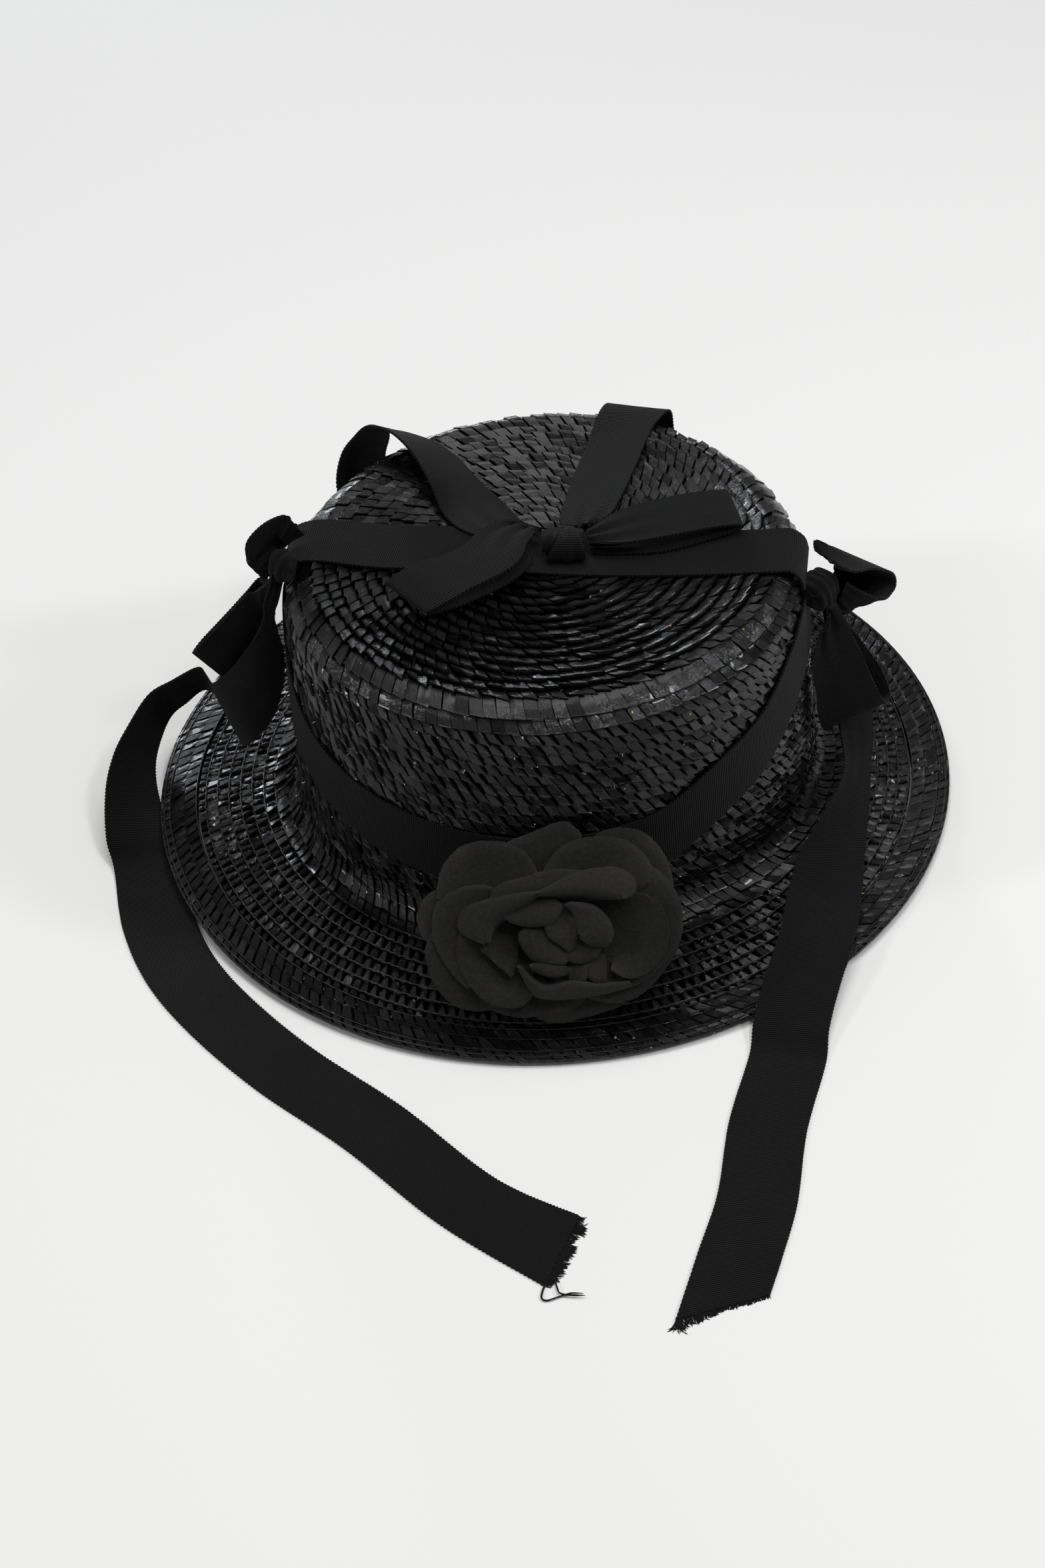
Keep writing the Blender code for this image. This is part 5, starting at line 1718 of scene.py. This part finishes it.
@dataclass
class Flower:
    """The cloth flower: petals cut from twill with frayed rims, and a backing pad."""

    material: Material
    columns: int = 112
    rows: int = 14
    fray: float = 0.00016
    ruffle: float = 0.0005

    def __post_init__(self) -> None:
        """Find the flower's middle and its right, upper and outward directions."""
        turn = math.radians(FLOWER_TURN)
        lean = math.radians(FLOWER_LEAN)
        wall = place_of(FLOWER_TURN, 1.0, 0.0)
        out = FLOWER_OUT * np.array([math.cos(turn), math.sin(turn), 0.0])
        self.middle = np.array([wall[0], wall[1], FLOWER_HEIGHT]) + out + np.array(FLOWER_SHIFT)
        self.right, self.upper = tilted_axes(lean, math.radians(FLOWER_ROLL))
        self.outward = np.array([0.0, -math.sin(lean), math.cos(lean)])

    def petal(self, name: str, form: Petal, seed: int) -> None:
        """Make one petal.

        A smooth surface runs through its lines. Between them it bulges by a parabola, its
        last fifth curls down, its rim waves softly, and the cut edge is jagged by chance.

        Args:
            name: The node that it stands for, or its own name.
            form: Its lines, bulge and curl.
            seed: Number that its chance starts from.
        """
        random = np.random.default_rng(seed)
        lines = [evenly_through(np.array(line.points, float), self.columns) for line in form.lines]
        levels = np.array([line.level for line in form.lines])
        share = np.linspace(0.0, 1.0, self.rows) ** 0.85
        at = share * (len(lines) - 1.0)
        plan = MILLIMETRE * through(np.array(lines), at)
        level = MILLIMETRE * through(levels[:, None], at)
        side = np.linspace(-1.0, 1.0, self.columns)[None, :]
        share = share[:, None]
        level = level + MILLIMETRE * form.bulge * 4.0 * share * (1.0 - share)
        level = level - MILLIMETRE * form.curl * np.clip((share - 0.8) / 0.2, 0.0, 1.0) ** 2
        level = level + self.ruffle * share ** 3 * np.sin(4.0 * side + 1.7 * seed)
        level = level + 0.4 * self.ruffle * share ** 2 * np.sin(9.0 * side + 2.9 * seed)
        away = unit(np.diff(plan[[-3, -1]], axis=0)[0])
        plan[-1] += away * (self.fray * random.uniform(-1.0, 1.0, self.columns))[:, None]
        points = (self.middle + plan[..., :1] * self.right + plan[..., 1:] * self.upper
                  + level[..., None] * self.outward)
        shape = closed_sheet(points, plan, PETAL_THICKNESS)
        piece = add_piece(name + "_cloth", shape, self.material, crease=PETAL_CREASE)
        dress(piece, Slot.CLOTH, name)
        along = np.linalg.norm(np.diff(points, axis=0), axis=-1)
        across = np.linalg.norm(np.diff(points, axis=1), axis=-1)
        patches = 0.5 * (along[:, 1:] + along[:, :-1]) * 0.5 * (across[1:] + across[:-1])
        area = float(patches.sum())
        width = max(float(across.sum(axis=1).max()), SHORTEST_CUT)
        length = max(float(along.sum(axis=0).max()), SHORTEST_CUT)
        share = min(max(area / (width * length), 0.35), 0.95)

    def build(self) -> None:
        """Make the petals, the backing pad and the core."""
        for place, (name, form) in enumerate(PETALS.items()):
            self.petal(name, form, place)
        pad = self.middle - self.outward * (FLOWER_DEPTH * PAD_SINK)
        core = self.middle + self.outward * CORE_RISE
        for name, middle, size in (("flower_base", pad, (1.80, 1.40, 1.50)),
                                   ("flower_core", core, (1.9, 1.3, 0.6))):
            Knot(name, middle, size, (FLOWER_LEAN, 0, 0), self.material, Slot.CLOTH, 4).build()


@dataclass(frozen=True)
class Lamp:
    """One soft light: its place, its size, its power and its colour."""

    name: str
    place: tuple
    size: float
    power: float
    colour: tuple = (1.0, 1.0, 1.0)


def view_axes() -> tuple:
    """Find the directions of the photo's view.

    Returns:
        The right, up and backward directions.
    """
    rise = math.radians(CAMERA_ELEVATION)
    right, up = tilted_axes(math.pi / 2 - rise, -math.radians(CAMERA_ROLL))
    return right, up, np.array([0.0, -math.cos(rise), math.sin(rise)])


@dataclass
class Studio:
    """The floor, the lights and the camera."""

    floor_side: float = 6.0
    sky: tuple = (0.96, 0.96, 0.955, 1.0)
    sky_strength: float = 0.23
    lamps: tuple = (
        Lamp("overhead", (0.10, 0.15, 1.7), 1.4, 14.5, (1.0, 0.99, 0.97)),
        Lamp("front", (0.58, -0.56, 1.30), 0.20, 4.2, (0.97, 0.98, 1.0)),
        Lamp("key", (1.20, -0.25, 0.95), 0.24, 4.5, (0.94, 0.97, 1.0)),
        Lamp("fill", (-1.15, -0.15, 0.95), 0.22, 3.0, (0.95, 0.98, 1.0)),
        Lamp("rear", (-0.35, 1.60, 0.45), 0.32, 4.4, (0.90, 0.95, 1.0)),
    )

    def build(self) -> None:
        """Set up the floor, the sky, the lights and the camera."""
        self.floor()
        self.world()
        for lamp in self.lamps:
            self.light(lamp)
        self.camera()

    def floor(self) -> None:
        """Lay a wide pale floor."""
        corners = np.array([(-1, -1, 0), (1, -1, 0), (1, 1, 0), (-1, 1, 0)]) * self.floor_side
        shape = Shape(corners, np.array([[0, 1, 2, 3]]), corners[:, :2])
        add_piece("floor", shape, FloorFinish().build(), "floor")

    def world(self) -> None:
        """Light the scene from a soft pale sky."""
        world = bpy.data.worlds.new("soft_sky")
        bpy.context.scene.world = world
        world.use_nodes = True
        nodes = Nodes(world.node_tree)
        inputs = {"Color": self.sky, "Strength": self.sky_strength}
        sky = nodes.add("ShaderNodeBackground", inputs)
        nodes.add("ShaderNodeOutputWorld", {"Surface": sky.outputs[0]})

    def light(self, lamp: Lamp) -> None:
        """Add one soft light that faces the hat.

        Args:
            lamp: Its place, size, power and colour.
        """
        data = bpy.data.lights.new(lamp.name, "AREA")
        data.shape = "DISK"
        data.size = lamp.size
        data.energy = lamp.power
        data.color = lamp.colour
        place = Vector(lamp.place)
        lamp_object = bpy.data.objects.new(lamp.name, data)
        lamp_object.location = place
        lamp_object.rotation_euler = place.to_track_quat("Z", "Y").to_euler()
        bpy.context.scene.collection.objects.link(lamp_object)

    def camera(self) -> None:
        """Add the camera at the photo's angle."""
        right, up, back = (Vector(axis) for axis in view_axes())
        data = bpy.data.cameras.new("camera")
        data.sensor_fit = "AUTO"
        data.sensor_width = SENSOR
        data.lens = FOCAL_PIXELS * SENSOR / PHOTO_HEIGHT
        data.clip_start, data.clip_end = 0.05, 20.0
        camera = bpy.data.objects.new("camera", data)
        place = Vector(CAMERA_TARGET) + back * CAMERA_DISTANCE + ORIGIN
        turns = Matrix((right, up, back)).transposed().to_4x4()
        camera.matrix_world = Matrix.Translation(place) @ turns
        bpy.context.scene.collection.objects.link(camera)
        bpy.context.scene.camera = camera


def dress_ends(trim: dict, material: Material) -> None:
    """Add the frayed cuts and the loose threads, as fringes of their ribbons.

    Args:
        trim: The ribbons by name.
        material: The ribbon's finish.
    """
    left, right = trim["left_streamer"], trim["right_streamer"]
    middles, across, _ = left.lines()
    corner = middles[-1] + 0.5 * across[-1]
    fringe = [Fray("left_fray", left, LEFT_FRAY, bend=12.0, clumps=8).build()]
    for name, offsets, height in (("left_twist", LEFT_TWIST, 0.0006),
                                  ("left_twist_end", LEFT_STRAND, 0.0010)):
        points = corner + MILLIMETRE * np.array(offsets)
        points[:, 2] = height
        fringe.append(Thread(name, points, material, TWIST_RADIUS).build())
    left.fringe = tuple(fringe)
    right.fringe = (Fray("right_fray", right, RIGHT_FRAY, bend=20.0, clumps=12, seed=5).build(),)
    offsets = MILLIMETRE * np.array(KNOT_THREAD) @ np.array(view_axes())
    loose = place_of(*THREAD_START) + offsets
    trim["right_lower_loop"].fringe = (Thread("knot_thread", loose, material).build(),)


def main() -> None:
    """Dress the hat and set up the studio."""
    logging.basicConfig(level=logging.INFO, format="%(message)s")
    bpy.context.scene.view_settings.view_transform = "Standard"
    wear, weave, rows = wear_group(), weave_group(), rows_group()
    straw = StrawFinish().build(wear, rows)
    ribbon = ClothFinish(
        Slot.RIBBON, dark=(0.0020, 0.0020, 0.0021, 1.0), light=(0.0072, 0.0072, 0.0075, 1.0),
        rib_pitch=RIB_PITCH, thread_pitch=0.00035, slant=0.0, relief=0.00022, sheen=0.05,
    ).build(wear, weave)
    cloth = ClothFinish(
        Slot.CLOTH, dark=(0.0040, 0.0039, 0.0037, 1.0), light=(0.0440, 0.0422, 0.0385, 1.0),
        rib_pitch=0.00056, thread_pitch=0.00034, slant=1.0, relief=0.00018, sheen=0.06,
        crossing=0.35,
    ).build(wear, weave)
    StrawBody(straw).build()
    Band(ribbon).build()
    trim = {name: Ribbon(name, hold, stations, ribbon)
            for name, (hold, stations) in RIBBONS.items()}
    dress_ends(trim, ribbon)
    for length in trim.values():
        length.build()
    top, left, right = place_of(*TOP_KNOT), place_of(*LEFT_KNOT), place_of(*RIGHT_KNOT)
    Knot("top_knot", top, (0.78, 1.16, 0.58), (0, 0, 80), ribbon).build()
    Wrap("top_knot_wrap", top + np.array(WRAP_SHIFT), WRAP_REACH, WRAP_BREADTH, WRAP_TURN,
         ribbon).build()
    Knot("left_knot", left, (0.62, 0.66, 0.80), (7, 0, 49), ribbon, pleats=3, press=0.12).build()
    Knot("right_knot", right, (0.84, 0.92, 0.92), (6, 0, -41), ribbon).build()
    Flower(cloth).build()
    Studio().build()


if __name__ == "__main__":
    main()
